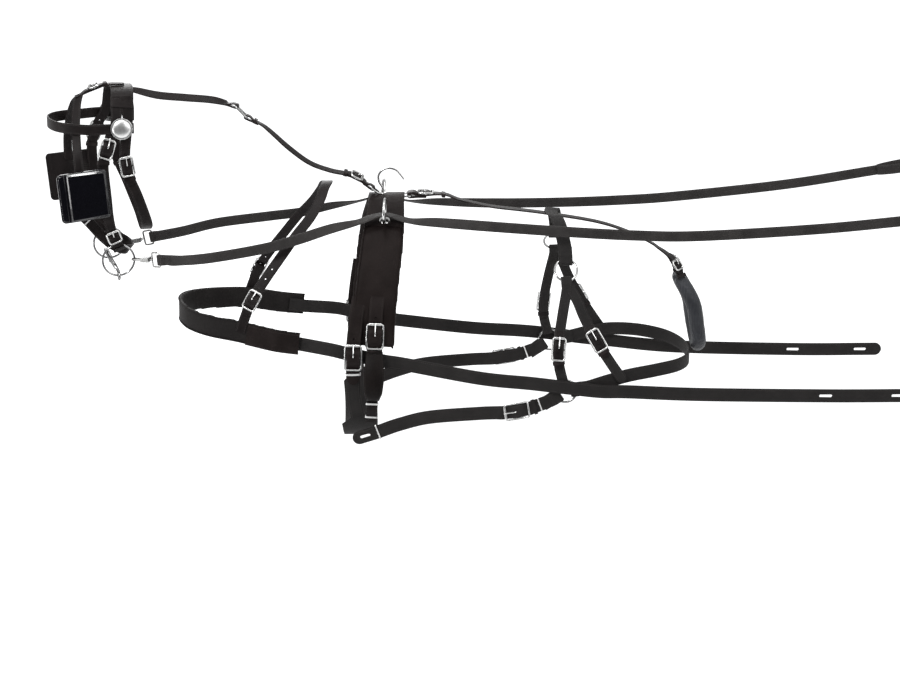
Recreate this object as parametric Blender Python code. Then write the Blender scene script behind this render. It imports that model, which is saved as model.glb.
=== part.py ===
"""Driving harness: bridle, check, saddle, breast collar with traces, breeching and reins, laid as worn."""

import math

import bmesh
import bpy
from mathutils import Matrix, Vector

for old in list(bpy.data.objects):
    bpy.data.objects.remove(old)

# Driving sizes, in metres. Route shares are parts of SPAN, the length from the poll to the dock.
SPAN = 1.0
GAP = 0.0003
MERGE = 0.000002
STRAP = 0.0025
WIDE = 0.025
NARROW = 0.019
SLIM = 0.016
WIRE = 0.00175
RING_WIRE = 0.002
RING_RADIUS = 0.0205
BIT_RADIUS = 0.029
TERRET_RADIUS = 0.0212
TERRET_WIRE = 0.0025
PAD = 0.010
PAD_WIDTH = 0.079
PAD_TOP_WIDTH = 0.064
COLLAR = 0.008
COLLAR_WIDTH = 0.042
TUG_WIDTH = 0.037
TUG_LOOP_LENGTH = 0.094
TUG_LOOP_DEPTH = 0.024
GIRTH_WIDTH = 0.062
CROWN_WIDTH = 0.040
WINKER_SIDE = 0.090
WINKER_THICK = 0.004
ROSETTE_RADIUS = 0.0195
ROSETTE_HEIGHT = 0.007
CRUPPER_RADIUS = 0.0155
CRUPPER_NECK = 0.008
SLOT_LENGTH = 0.024
SLOT_WIDTH = 0.0055
LOOP_CLEARANCE = 0.0012
LOOP_SIDE_CLEARANCE = 0.0004
HAND_LOOP_LENGTH = 0.150
HAND_LOOP_DEPTH = 0.040
SNAP_LENGTH = 0.052
SNAP_WIRE = 0.0016
SNAP_HOOK_RADIUS = 0.0050
HEAD_TURN = math.radians(14.0)
HEAD_ROLL = math.radians(3.0)

# Shares of the sizes above.
FRAME_HALF_SHARE = 0.9
TURN_STEP = math.radians(20.0)
FINE_STEP = SPAN * 0.003
LONG_STEP = SPAN * 0.12
WIRE_SIDES = 6
FOLD_SIDES = 6

POLL_SHARES = (-0.475, 0.0, 0.190)
# The saddle pad's underside on the centre line, where the part's origin is.
ORIGIN_SHARES = (0.0035, 0.0, -0.0170)

LEATHER = ((0.035, 0.030, 0.028), 0.5, 0.0)
WEBBING = ((0.020, 0.020, 0.024), 0.75, 0.0)
PATENT = ((0.010, 0.010, 0.012), 0.08, 0.0)
CHROME = ((0.75, 0.75, 0.74), 0.18, 1.0)
PADDING = ((0.016, 0.018, 0.026), 0.6, 0.0)

HEAD = (
    Matrix.Translation(Vector(POLL_SHARES) * SPAN)
    @ Matrix.Rotation(HEAD_TURN, 4, "Z")
    @ Matrix.Rotation(HEAD_ROLL, 4, "X")
)


# Routes: a smooth curve through a few places, read as a chain of straight runs that every layer follows.
def spline(values, share):
    """Return the value at a share of one cubic piece between the two middle values."""
    a, b, c, d = values
    first = (c - a) * 0.5
    last = (d - b) * 0.5
    run = c - b
    return b + first * share + (run * 3 - first * 2 - last) * share**2 + (first + last - run * 2) * share**3


def across(vector, axis):
    """Return the unit part of a vector that stands square to an axis."""
    return (vector - axis * vector.dot(axis)).normalized()


class Route:
    """A strap's line with its outward side, straight where a buckle sits, and even if its halves match."""

    def __init__(self, places, facing, zones=(), mirror=False, head=False, closed=False, even=False):
        flip = Vector((1, -1, 1)) if mirror else Vector((1, 1, 1))
        points = [Vector(p) * SPAN * flip for p in places]
        sides = [Vector(f) * flip for f in facing]
        if len(sides) == 1:
            sides = sides * len(points)
        if head:
            points = [HEAD @ p for p in points]
            sides = [HEAD.to_3x3() @ f for f in sides]
        count = len(points)
        if closed:
            ring = [points[-1], *points, points[0], points[1]]
            looks = [sides[-1], *sides, sides[0], sides[1]]
            pieces = count
        else:
            ring = [points[0] * 2 - points[1], *points, points[-1] * 2 - points[-2]]
            looks = [sides[0], *sides, sides[-1]]
            pieces = count - 1
        dense = []
        marks = []
        for i in range(pieces):
            steps = max(4, int((ring[i + 2] - ring[i + 1]).length / FINE_STEP))
            marks.append(len(dense))
            for k in range(steps):
                share = k / steps
                look = looks[i + 1].lerp(looks[i + 2], share)
                dense.append((spline(ring[i : i + 4], share), look))
        marks.append(len(dense))
        dense.append((ring[pieces + 1].copy(), looks[pieces + 1]))
        lengths = [0.0]
        for i in range(1, len(dense)):
            lengths.append(lengths[-1] + (dense[i][0] - dense[i - 1][0]).length)
        self.marks = [lengths[m] for m in marks]
        self.length = lengths[-1]
        spans = [self.zone(*z) for z in zones]
        held_marks = [marks[z[0]] for z in zones]
        tangents = []
        for i in range(len(dense)):
            before = dense[max(i - 1, 0)][0]
            after = dense[min(i + 1, len(dense) - 1)][0]
            tangents.append((after - before).normalized())
        if closed:
            tangents[0] = tangents[-1] = (dense[1][0] - dense[-2][0]).normalized()
        normals = [across(d[1], t) for d, t in zip(dense, tangents)]
        self.knots = []
        held = None
        last = None
        for i, at in enumerate(lengths):
            inside = [z for z in spans if z[0] <= at <= z[1]]
            if inside and held is None:
                held = inside[0]
                start = i
            if held is not None and (not inside or i == len(lengths) - 1):
                stop = i if inside else i - 1
                looks_out = sum((normals[m] for m in held_marks if start <= m <= stop), Vector())
                self.add_zone(dense, lengths, looks_out, start, stop)
                last = stop
                held = None
                if inside:
                    continue
            if inside:
                continue
            turned = last is None or (
                tangents[i].angle(tangents[last]) + normals[i].angle(normals[last]) > TURN_STEP
            )
            far = last is not None and at - lengths[last] > LONG_STEP
            if turned or far or i == len(lengths) - 1:
                if last is not None and i == len(lengths) - 1 and at - self.knots[-1][0] < FINE_STEP:
                    self.knots.pop()
                self.knots.append((at, dense[i][0].copy(), normals[i], tangents[i]))
                last = i

        if even:
            turn = HEAD if head else Matrix.Identity(4)
            over = turn @ Matrix.Diagonal((1, -1, 1, 1)) @ turn.inverted()
            swing = over.to_3x3()
            m = marks[count // 2]
            near = [k for k in self.knots if k[0] < lengths[m] - FINE_STEP]
            far = [(self.length - k[0], over @ k[1], swing @ k[2], -(swing @ k[3])) for k in reversed(near)]
            self.knots = near + [(lengths[m], dense[m][0].copy(), normals[m], tangents[m])] + far

    def zone(self, mark, before, after):
        """Return a straight stretch about one of the route's places, from its lengths before and after."""
        at = self.marks[mark]
        return max(at - before, 0.0), min(at + after, self.length)

    def add_zone(self, dense, lengths, facing, start, stop):
        """Lay one straight run between two samples, square at both ends."""
        a = dense[start][0]
        b = dense[stop][0]
        along = (b - a).normalized()
        out = across(facing, along)
        self.knots.append((lengths[start], a.copy(), out, along))
        self.knots.append((lengths[stop], b.copy(), out, along))

    def at(self, s):
        """Return place, along, outward and sideways at a length on the chain."""
        s = min(max(s, self.knots[0][0]), self.knots[-1][0])
        for k in range(1, len(self.knots)):
            if s <= self.knots[k][0]:
                break
        a = self.knots[k - 1]
        b = self.knots[k]
        share = (s - a[0]) / (b[0] - a[0])
        place = a[1].lerp(b[1], share)
        along = (b[1] - a[1]).normalized()
        if share < 1e-6:
            along = a[3]
        if share > 1 - 1e-6:
            along = b[3]
        out = across(a[2].lerp(b[2], share), along)
        return place, along, out, out.cross(along)

    def mid(self, mark):
        """Return the length on the chain that lies nearest to one of the places."""
        return self.marks[mark]

    def frame(self, s):
        """Return the local axes there: X along, Y sideways, Z outward."""
        place, along, out, side = self.at(s)
        turn = Matrix((along, side, out)).transposed().to_4x4()
        return Matrix.Translation(place) @ turn


# Builders of closed meshes.
def new_object(name, mesh, look, origin=None):
    """Make one named object with its own material and its origin where it turns."""
    place = Vector() if origin is None else origin - Vector(ORIGIN_SHARES) * SPAN
    mesh.transform(Matrix.Translation(-place - Vector(ORIGIN_SHARES) * SPAN))
    material = bpy.data.materials.new(name)
    material.use_nodes = True
    shader = material.node_tree.nodes["Principled BSDF"]
    colour, rough, metal = look
    shader.inputs["Base Color"].default_value = (*colour, 1.0)
    shader.inputs["Roughness"].default_value = rough
    shader.inputs["Metallic"].default_value = metal
    mesh.materials.clear()
    mesh.materials.append(material)
    item = bpy.data.objects.new(name, mesh)
    bpy.context.collection.objects.link(item)
    item.location = place
    mesh.shade_smooth()
    mesh.set_sharp_from_angle(angle=math.radians(40))
    return item


def mesh_from(sections, closed=False):
    """Skin a row of equal sections and cap the ends, or join the last to the first."""
    bm = bmesh.new()
    rows = [[bm.verts.new(p) for p in section] for section in sections]
    sides = len(rows[0])
    pairs = list(zip(rows, rows[1:]))
    if closed:
        pairs.append((rows[-1], rows[0]))
    for a, b in pairs:
        for i in range(sides):
            j = (i + 1) % sides
            bm.faces.new((a[i], a[j], b[j], b[i]))
    if not closed:
        bm.faces.new(rows[0][::-1])
        bm.faces.new(rows[-1])
    return finish(bm)


def finish(bm):
    """Turn all faces outward and return the mesh."""
    bmesh.ops.recalc_face_normals(bm, faces=bm.faces)
    if bm.calc_volume(signed=True) < 0:
        bmesh.ops.reverse_faces(bm, faces=bm.faces)
    mesh = bpy.data.meshes.new("shape")
    bm.to_mesh(mesh)
    bm.free()
    return mesh


TIP_SHARES = ((0.0, 0.35), (0.12, 0.62), (0.4, 0.9), (1.0, 1.0))


def ribbon(route, start, stop, width, thick=STRAP, lift=0.0, extra=(), tip=0):
    """Sweep a flat strap; lift and width may be rules of the length, and tip rounds its end or ends."""
    stations = {start, stop}
    stations.update(k[0] for k in route.knots if start + GAP < k[0] < stop - GAP)
    stations.update(e for e in extra if start < e < stop)
    ends = {}
    full = width(stop) if callable(width) else width
    nose = full * 0.5
    if tip in (1, 2):
        for back_share, width_share in TIP_SHARES:
            stations.add(stop - nose * back_share)
            ends[stop - nose * back_share] = width_share
    if tip in (-1, 2):
        for back_share, width_share in TIP_SHARES:
            stations.add(start + nose * back_share)
            ends[start + nose * back_share] = width_share
    kept = [start]
    for s in sorted(stations):
        if GAP < s - kept[-1] and (s == stop or stop - s > GAP):
            kept.append(s)
        elif s in ends and s != start:
            ends[kept[-1]] = ends[s]
    sections = []
    for s in kept:
        place, along, out, side = route.at(s)
        level = lift(s) if callable(lift) else lift
        wide = (width(s) if callable(width) else width) * 0.5 * ends.get(s, 1.0)
        deep = (thick(s) if callable(thick) else thick) * 0.5
        middle = place + out * level
        sections.append([
            middle + side * wide + out * deep,
            middle - side * wide + out * deep,
            middle - side * wide - out * deep,
            middle + side * wide - out * deep,
        ])
    return mesh_from(sections)


def wire(points, radius, closed=False, sides=WIRE_SIDES, up=None):
    """Sweep a round wire along a chain of places."""
    count = len(points)
    sections = []
    normal = up
    for i, p in enumerate(points):
        if closed:
            before = points[i - 1]
            after = points[(i + 1) % count]
        else:
            before = points[max(i - 1, 0)]
            after = points[min(i + 1, count - 1)]
        along = (after - before).normalized()
        if normal is None:
            normal = along.orthogonal()
        if up is not None:
            normal = up
        normal = across(normal, along)
        other = along.cross(normal)
        section = []
        for k in range(sides):
            angle = math.tau * (k + 0.5) / sides
            section.append(p + normal * (math.cos(angle) * radius) + other * (math.sin(angle) * radius))
        sections.append(section)
    return mesh_from(sections, closed)


def ring(frame, radius, wire_radius, steps=18, sides=6):
    """Make a round ring in the frame's XY plane."""
    points = []
    for k in range(steps):
        angle = math.tau * k / steps
        points.append(frame @ Vector((math.cos(angle) * radius, math.sin(angle) * radius, 0)))
    up = frame.to_3x3() @ Vector((0, 0, 1))
    return wire(points, wire_radius, True, sides, up)


def disc(frame, radius, height, steps=24, dome=0.0):
    """Make a short round plate on the frame's XY plane, domed on its far side."""
    sections = []
    rows = [(1.0, 0.0), (1.0, 0.45), (0.8, 0.8), (0.4, 1.0)] if dome else [(1.0, 0.0), (1.0, 1.0)]
    for size_share, height_share in rows:
        section = []
        for k in range(steps):
            angle = math.tau * k / steps
            flat = Vector((math.cos(angle), math.sin(angle), 0)) * (radius * size_share)
            section.append(frame @ (flat + Vector((0, 0, height * height_share))))
        sections.append(section)
    return mesh_from(sections)


def block(frame, low, high):
    """Make a box between two corners of a frame."""
    bm = bmesh.new()
    bmesh.ops.create_cube(bm, size=1.0)
    low = Vector(low)
    high = Vector(high)
    for v in bm.verts:
        share = v.co + Vector((0.5, 0.5, 0.5))
        v.co = frame @ Vector(tuple(low[i] + (high[i] - low[i]) * share[i] for i in range(3)))
    return finish(bm)


def plate(frame, outline, thick):
    """Raise a flat outline by a thickness, centred on the frame's XY plane."""
    rows = []
    for level in (-thick / 2, thick / 2):
        rows.append([frame @ Vector((x, y, level)) for x, y in outline])
    return mesh_from(rows)


def rounded(length, width, corner, steps=3):
    """Return a rounded rectangle's outline about the origin."""
    points = []
    for quarter, (sx, sy) in enumerate(((1, 1), (-1, 1), (-1, -1), (1, -1))):
        middle_x = sx * (length / 2 - corner)
        middle_y = sy * (width / 2 - corner)
        for k in range(steps + 1):
            angle = math.pi / 2 * (quarter + k / steps)
            points.append((middle_x + math.cos(angle) * corner, middle_y + math.sin(angle) * corner))
    return points


def hollow(frame, inner, outer, width):
    """Make a closed band from two outlines in the frame's XZ plane, reaching along Y."""
    bm = bmesh.new()
    corners = []
    for outline in (inner, outer):
        for side in (-width / 2, width / 2):
            corners.append([bm.verts.new(frame @ Vector((x, side, z))) for x, z in outline])
    in_near, in_far, out_near, out_far = corners
    count = len(inner)
    for i in range(count):
        j = (i + 1) % count
        bm.faces.new((in_near[i], in_near[j], in_far[j], in_far[i]))
        bm.faces.new((out_near[i], out_near[j], out_far[j], out_far[i]))
        bm.faces.new((in_near[i], in_near[j], out_near[j], out_near[i]))
        bm.faces.new((in_far[i], in_far[j], out_far[j], out_far[i]))
    return finish(bm)


def stadium(back, front, half, steps=FOLD_SIDES // 2):
    """Return a long round-ended outline from x = back to x = front, with its half height."""
    points = []
    for k in range(steps + 1):
        angle = math.pi * (k / steps - 0.5)
        points.append((front - half + math.cos(angle) * half, math.sin(angle) * half))
    for k in range(steps + 1):
        angle = math.pi * (k / steps + 0.5)
        points.append((back + half + math.cos(angle) * half, math.sin(angle) * half))
    if front - back < half * 2 + GAP:
        del points[-1]
        del points[steps + 1]
    return points


def fold(frame, back, front, half, width, thick=STRAP):
    """Make a strap's sewn fold round a wire: open along Y, from x = back to x = front inside."""
    inner = stadium(back, front, half)
    outer = stadium(back - thick, front + thick, half + thick)
    return hollow(frame, inner, outer, width - GAP * 2)


def combine(base, tool, how="UNION"):
    """Join or cut two meshes and return one."""
    a = bpy.data.objects.new("base", base)
    b = bpy.data.objects.new("tool", tool)
    bpy.context.collection.objects.link(a)
    bpy.context.collection.objects.link(b)
    change = a.modifiers.new("join", "BOOLEAN")
    change.operation = how
    change.solver = "EXACT"
    change.object = b
    graph = bpy.context.evaluated_depsgraph_get()
    bm = bmesh.new()
    bm.from_object(a, graph)
    bmesh.ops.remove_doubles(bm, verts=bm.verts, dist=MERGE)
    bmesh.ops.dissolve_degenerate(bm, edges=bm.edges, dist=MERGE)
    bpy.data.objects.remove(a)
    bpy.data.objects.remove(b)
    return finish(bm)


def join(first, *others):
    """Union several meshes."""
    for other in others:
        first = combine(first, other)
    return first


# Buckles. Local axes: X along the strap from the billet to the tab, Y across, Z outward.
FOLD_IN = (WIRE + GAP) / math.cos(math.pi / FOLD_SIDES)
FOLD_OUT = FOLD_IN + STRAP
TAB_LIFT = STRAP / 2 - FOLD_OUT + GAP * 0.2
BILLET_LIFT = TAB_LIFT + STRAP + GAP
FRAME_LIFT = BILLET_LIFT + STRAP / 2 + GAP + WIRE
BILLET_HUMP = FOLD_OUT + GAP + STRAP / 2 - BILLET_LIFT
TONGUE = WIRE * 0.8
TONGUE_WIDTH = TONGUE * 2.6
TONGUE_REST = FRAME_LIFT + WIRE + GAP + TONGUE
TONGUE_TOP = BILLET_LIFT + BILLET_HUMP + STRAP / 2 + GAP + TONGUE
HUMP_FLAT_SHARE = 0.28
HUMP_SHARES = (-1.0, -0.76, -0.52, -0.28, 0.28, 0.52, 0.76, 1.0)


def zone_half(width):
    """Return how far a buckle needs its strap straight to each side."""
    return width * FRAME_HALF_SHARE + WIRE * 2


def hump_stations(at, width):
    """Return where a billet bends as it rises over the heel bar."""
    reach = width * FRAME_HALF_SHARE - WIRE
    return [at + reach * share for share in HUMP_SHARES]


def hump_rule(at, width):
    """Return the rule of a billet's height over the buckle."""
    reach = width * FRAME_HALF_SHARE - WIRE

    def rule(s):
        share = min(abs(s - at) / reach, 1.0)
        flat = max(share - HUMP_FLAT_SHARE, 0.0) / (1 - HUMP_FLAT_SHARE)
        return BILLET_LIFT + BILLET_HUMP * (1 + math.cos(math.pi * flat)) / 2

    return rule


def buckle_frame(place, width):
    """Make a wire frame with its heel bar dropped between the strap's layers."""
    half = width * FRAME_HALF_SHARE
    side = width / 2 + WIRE * 1.2
    outline = rounded(half * 2, side * 2, WIRE * 2, 1)
    points = [place @ Vector((x, y, FRAME_LIFT)) for x, y in outline]
    up = place.to_3x3() @ Vector((0, 0, 1))
    rim = wire(points, WIRE, True, WIRE_SIDES, up)
    drop = side - WIRE * 0.7
    path = [(side, FRAME_LIFT), (drop, 0.0), (-drop, 0.0), (-side, FRAME_LIFT)]
    bar_points = [place @ Vector((0, y, z)) for y, z in path]
    return join(rim, wire(bar_points, WIRE, False, WIRE_SIDES, place.to_3x3() @ Vector((1, 0, 0))))


def tongue_path(width, low_share):
    """Return the tongue's line from the heel bar to the far bar, in the frame's XZ plane."""
    half = width * FRAME_HALF_SHARE
    return [
        (-TONGUE * 0.4, FOLD_IN * low_share),
        (-TONGUE * 1.4, TONGUE_TOP - TONGUE),
        (-TONGUE * 3.2, TONGUE_TOP + GAP),
        (-half * 0.5, TONGUE_TOP + GAP),
        (-half, TONGUE_REST + GAP),
        (-half - TONGUE * 2, TONGUE_REST - TONGUE * 0.3),
    ]


def tongue_shank(place, width, low_share=0.0):
    """Make the tongue's pin, from inside the heel bar or from its own eye."""
    points = [place @ Vector((x, 0, z)) for x, z in tongue_path(width, low_share)]
    return wire(points, TONGUE, False, WIRE_SIDES, place.to_3x3() @ Vector((0, 1, 0)))


def loose_tongue(place, width):
    """Make a tongue with its eye round the heel bar."""
    inner = [(x, z) for x, z in stadium(-FOLD_IN, FOLD_IN, FOLD_IN)]
    outer = [(x * 1.7, z * 1.7) for x, z in inner]
    eye = hollow(place, inner, outer, TONGUE_WIDTH)
    return join(eye, tongue_shank(place, width, 1.25))


def tongue_slot(place, width, mesh):
    """Cut the slot that a tongue passes through a billet."""
    reach = TONGUE * 5.5
    room = TONGUE_WIDTH / 2 + GAP * 2
    slot = block(place, (-reach, -room, -FOLD_OUT / 3), (reach * 0.9, room, FOLD_OUT * 3))
    return combine(mesh, slot, "DIFFERENCE")


def tab_fold(place, width, mesh):
    """Add the fold round the heel bar to a tab, split for the tongue."""
    tube = fold(place, -FOLD_IN, FOLD_IN, FOLD_IN, width)
    mesh = join(mesh, tube)
    room = TONGUE_WIDTH / 2 + GAP * 2
    reach = FOLD_OUT + TONGUE
    return combine(mesh, block(place, (-reach, -room, -reach * 2), (reach, room, reach * 2)), "DIFFERENCE")


def sewn_buckle(place, width, mesh, size=1.0):
    """Join a small frame to the strap that it is sewn on."""
    half = width * FRAME_HALF_SHARE * size
    side = width / 2 + WIRE * 1.2
    level = STRAP / 2 + WIRE * 0.4
    outline = rounded(half * 2, side * 2, WIRE * 2, 1)
    points = [place @ Vector((x, y, level)) for x, y in outline]
    return join(mesh, wire(points, WIRE, True, 4, place.to_3x3() @ Vector((0, 0, 1))))


def end_loop(route, at_start, mesh, width, wire_radius, bend_radius, lift=0.0):
    """Close a strap's end with a fold round a ring's wire that lies on the route's end place."""
    clear = wire_radius + LOOP_CLEARANCE
    inside = bend_radius - wire_radius
    sag = inside - math.sqrt(inside**2 - (width / 2) ** 2) if bend_radius else 0.0
    place = route.frame(0.0 if at_start else route.length)
    if at_start:
        place = place @ Matrix.Rotation(math.pi, 4, "Z")
    place = place @ Matrix.Translation((0, 0, lift))
    return join(mesh, fold(place, -clear, sag + clear, wire_radius + LOOP_SIDE_CLEARANCE, width))


def loop_reach(wire_radius):
    """Return how far before a ring's wire the flat strap stops."""
    return wire_radius + LOOP_CLEARANCE + STRAP * 0.6


BUCKLE = zone_half(WIDE)
SMALL_BUCKLE = zone_half(NARROW)
LOOP_ZONE = WIDE * 0.6
SIDES = (("left", False), ("right", True))


def turned(centre, normal, up, head=False, mirror=False):
    """Return a ring's frame: Z outward, Y up along its plane."""
    flip = Vector((1, -1, 1)) if mirror else Vector((1, 1, 1))
    place = Vector(centre) * SPAN * flip
    out = Vector(normal) * flip
    top = Vector(up) * flip
    if head:
        place = HEAD @ place
        out = HEAD.to_3x3() @ out
        top = HEAD.to_3x3() @ top
    out.normalize()
    top = across(top, out)
    return Matrix.Translation(place) @ Matrix((top.cross(out), top, out)).transposed().to_4x4()


# Bridle. The head frame has X to the rear, Y to the far side and Z up from the poll.
CHEEK_SHARES = [
    (-0.0185, -0.0490, -0.0080), (-0.0225, -0.0665, -0.050), (-0.0335, -0.0750, -0.071),
    (-0.0430, -0.0790, -0.0925), (-0.0490, -0.0840, -0.124), (-0.0455, -0.0850, -0.180),
    (-0.0410, -0.0780, -0.222), (-0.0366, -0.0625, -0.2524), (-0.0312, -0.0620, -0.2758),
]
CHEEK_FACES = [
    (0, -1, 0.30), (0, -1, 0.25), (0, -1, 0.15), (0, -1, 0.10), (0, -1, 0.0),
    (0, -1, 0.0), (0, -1, -0.10), (0, -1, 0.0), (0, -1, 0),
]
CROWN_SHARES = [
    (-0.0088, -0.055, -0.0205), (-0.0068, -0.046, -0.006), (-0.0040, -0.025, 0.003),
    (-0.0020, 0.0, 0.0055), (-0.0040, 0.025, 0.003), (-0.0068, 0.046, -0.006), (-0.0088, 0.055, -0.0205),
]
CROWN_FACES = [(0, -1, 0.30), (0, -1, 1), (0, -0.3, 1), (0, 0, 1), (0, 0.3, 1), (0, 1, 1), (0, 1, 0.30)]
THROAT_SHARES = [
    (0.0030, -0.0545, -0.030), (-0.0040, -0.066, -0.070), (-0.0076, -0.070, -0.128),
    (0.0130, -0.068, -0.186), (0.0300, -0.054, -0.236), (0.0336, -0.030, -0.2545),
    (0.0340, 0.0, -0.262), (0.0336, 0.030, -0.2545), (0.0300, 0.054, -0.236), (0.0130, 0.068, -0.186),
    (-0.0076, 0.070, -0.128), (-0.0040, 0.066, -0.070), (0.0030, 0.0545, -0.030),
]
THROAT_FACES = [
    (0, -1, 0.3), (0, -1, 0.2), (0, -1, 0), (0, -1, -0.2), (0, -1, -0.7), (0, -0.6, -1), (0, 0, -1),
    (0, 0.6, -1), (0, 1, -0.7), (0, 1, -0.2), (0, 1, 0), (0, 1, 0.2), (0, 1, 0.3),
]
BROW_SHARES = [
    (0.0080, -0.0780, -0.057), (-0.0302, -0.0780, -0.057), (-0.0690, -0.072, -0.058),
    (-0.1030, -0.059, -0.057), (-0.1270, -0.036, -0.056), (-0.1360, 0.0, -0.055),
    (-0.1270, 0.036, -0.056), (-0.1030, 0.059, -0.057), (-0.0690, 0.072, -0.058),
    (-0.0302, 0.0780, -0.057), (0.0080, 0.0780, -0.057),
]
BROW_FACES = [
    (0, -1, 0), (0, -1, 0), (-0.25, -1, 0), (-0.6, -1, 0), (-1, -0.7, 0), (-1, 0, 0), (-1, 0.7, 0),
    (-0.6, 1, 0), (-0.25, 1, 0), (0, 1, 0), (0, 1, 0),
]
STAY_SHARES = [
    (0.004, 0.0, 0.0094), (-0.024, 0.0, 0.0096), (-0.050, 0.0, 0.0023), (-0.0856, 0.0, -0.0118),
]
STAY_BRANCH_SHARES = [
    (-0.0780, -0.002, -0.0085), (-0.0850, -0.020, -0.0235), (-0.0910, -0.045, -0.055),
    (-0.0935, -0.070, -0.093), (-0.0930, -0.0822, -0.124), (-0.0925, -0.0826, -0.146),
]
STAY_BRANCH_FACES = [
    (-0.3, 0, 1), (-0.5, -0.7, 1), (-0.5, -1, 1), (-0.3, -1, 0.6), (0, -1, 0.1), (0, -1, 0),
]
NOSE_SHARES = [
    (-0.1040, 0.0, -0.2120), (-0.0980, -0.030, -0.2150), (-0.0800, -0.050, -0.2270),
    (-0.0550, -0.0557, -0.2560), (-0.0355, -0.0553, -0.2750), (-0.0150, -0.0490, -0.2870),
    (0.0000, -0.032, -0.2925), (0.0050, 0.0, -0.2940), (0.0000, 0.032, -0.2925),
    (-0.0150, 0.0490, -0.2870), (-0.0355, 0.0553, -0.2750), (-0.0550, 0.0557, -0.2560),
    (-0.0800, 0.050, -0.2270), (-0.0980, 0.030, -0.2150),
]
NOSE_FACES = [
    (-1, 0, 0.6), (-1, -0.8, 0.5), (-0.4, -1, 0.1), (0, -1, 0), (0, -1, 0), (0.2, -1, -0.2),
    (0.5, -1, -0.5), (0.7, 0, -0.7), (0.5, 1, -0.5), (0.2, 1, -0.2), (0, 1, 0), (0, 1, 0),
    (-0.4, 1, 0.1), (-1, 0.8, 0.5),
]
# The bit rings hang from the ends of the cheeks, and the mouthpiece's eyes from the bit rings.
BIT_HANG_SHARES = (0.0065, 0.0, -0.0283)
BIT_CENTRE_SHARES = Vector(CHEEK_SHARES[-1]) + Vector(BIT_HANG_SHARES).normalized() * (BIT_RADIUS / SPAN)
MOUTH_MIDDLE_SHARES = [
    (-0.0300, -0.048, -0.3180), (-0.0360, -0.030, -0.3080), (-0.0380, 0.0, -0.3040),
    (-0.0360, 0.030, -0.3080), (-0.0300, 0.048, -0.3180),
]
EYE_RADIUS = RING_WIRE * 3
EYE_WIRE = RING_WIRE * 1.2
EYE_DROP = BIT_RADIUS + RING_WIRE * 0.8 - GAP * 2
WINKER_CENTRE_SHARES = (-0.0860, -0.0871, -0.1750)
WINKER_FACE = (0.05, -1, 0)
WINKER_TOP = (-0.09, 0, 1)
WINKER_CORNER = WINKER_SIDE * 0.09
# The second strap at each end of the crown, which the throatlatch hangs from.
CROWN_REAR_SHARES = [(0.0010, -0.0500, -0.0080), (0.0030, -0.0600, -0.040), (0.0020, -0.0655, -0.055)]
CROWN_REAR_LENGTH = SPAN * 0.040

crown = Route(CROWN_SHARES, CROWN_FACES, head=True, even=True)
crown_mesh = ribbon(crown, 0.0, crown.length, CROWN_WIDTH, STRAP * 1.3)
cheek_routes = {}
for side, mirror in SIDES:
    cheek = Route(
        CHEEK_SHARES, CHEEK_FACES, mirror=mirror, head=True,
        zones=((3, SMALL_BUCKLE, SMALL_BUCKLE), (7, SLIM, SLIM * 0.6), (8, LOOP_ZONE, 0.0)),
    )
    cheek_routes[side] = cheek
    at = cheek.mid(3)
    rule = hump_rule(at, NARROW)
    billet = ribbon(
        cheek, 0.0, at + SMALL_BUCKLE * 1.5, NARROW, lift=rule, extra=hump_stations(at, NARROW), tip=1,
    )
    billet = tongue_slot(cheek.frame(at), NARROW, billet)
    rear = Route(CROWN_REAR_SHARES, [(0, -1, 0.30)], mirror=mirror, head=True)
    crown_mesh = join(crown_mesh, billet, ribbon(rear, 0.0, CROWN_REAR_LENGTH, SLIM))
new_object("crown_piece", crown_mesh, LEATHER)

for side, mirror in SIDES:
    cheek = cheek_routes[side]
    at = cheek.mid(3)
    place = cheek.frame(at)
    end = cheek.length
    bit_at = cheek.mid(7)
    stop = end - loop_reach(RING_WIRE)

    def cheek_lift(s):
        share = min(max((s - cheek.mid(5)) / (cheek.mid(6) - cheek.mid(5)), 0.0), 1.0)
        return TAB_LIFT * (1 - share)

    strap = ribbon(cheek, at, stop, NARROW, lift=cheek_lift)
    strap = tab_fold(place, NARROW, strap)
    strap = sewn_buckle(cheek.frame(bit_at), NARROW, strap, 0.64)
    strap = end_loop(cheek, False, strap, NARROW, RING_WIRE, BIT_RADIUS)
    new_object("cheek_" + side, strap, LEATHER)
    buckle = join(buckle_frame(place, NARROW), tongue_shank(place, NARROW))
    new_object("cheek_buckle_" + side, buckle, CHROME)

throat = Route(
    THROAT_SHARES, THROAT_FACES, zones=((2, SMALL_BUCKLE, SMALL_BUCKLE), (10, SMALL_BUCKLE, SMALL_BUCKLE)),
    head=True, even=True,
)
throat_mesh = ribbon(throat, 0.0, throat.length, NARROW)
for mark in (2, 10):
    throat_mesh = sewn_buckle(throat.frame(throat.mid(mark)), NARROW, throat_mesh, 1.0)
new_object("throatlatch", throat_mesh, LEATHER)

brow = Route(
    BROW_SHARES, BROW_FACES, zones=((1, NARROW, NARROW), (9, NARROW, NARROW)), head=True, even=True,
)
new_object("browband", ribbon(brow, 0.0, brow.length, NARROW), PATENT)
ROSETTE_SHIFT = NARROW * 0.85
for side, mirror in SIDES:
    at = brow.mid(9) + ROSETTE_SHIFT if mirror else brow.mid(1) - ROSETTE_SHIFT
    base = brow.frame(at) @ Matrix.Translation((0, 0, STRAP / 2 + GAP))
    new_object("rosette_" + side, disc(base, ROSETTE_RADIUS, ROSETTE_HEIGHT, 18, 1.0), CHROME)

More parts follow.
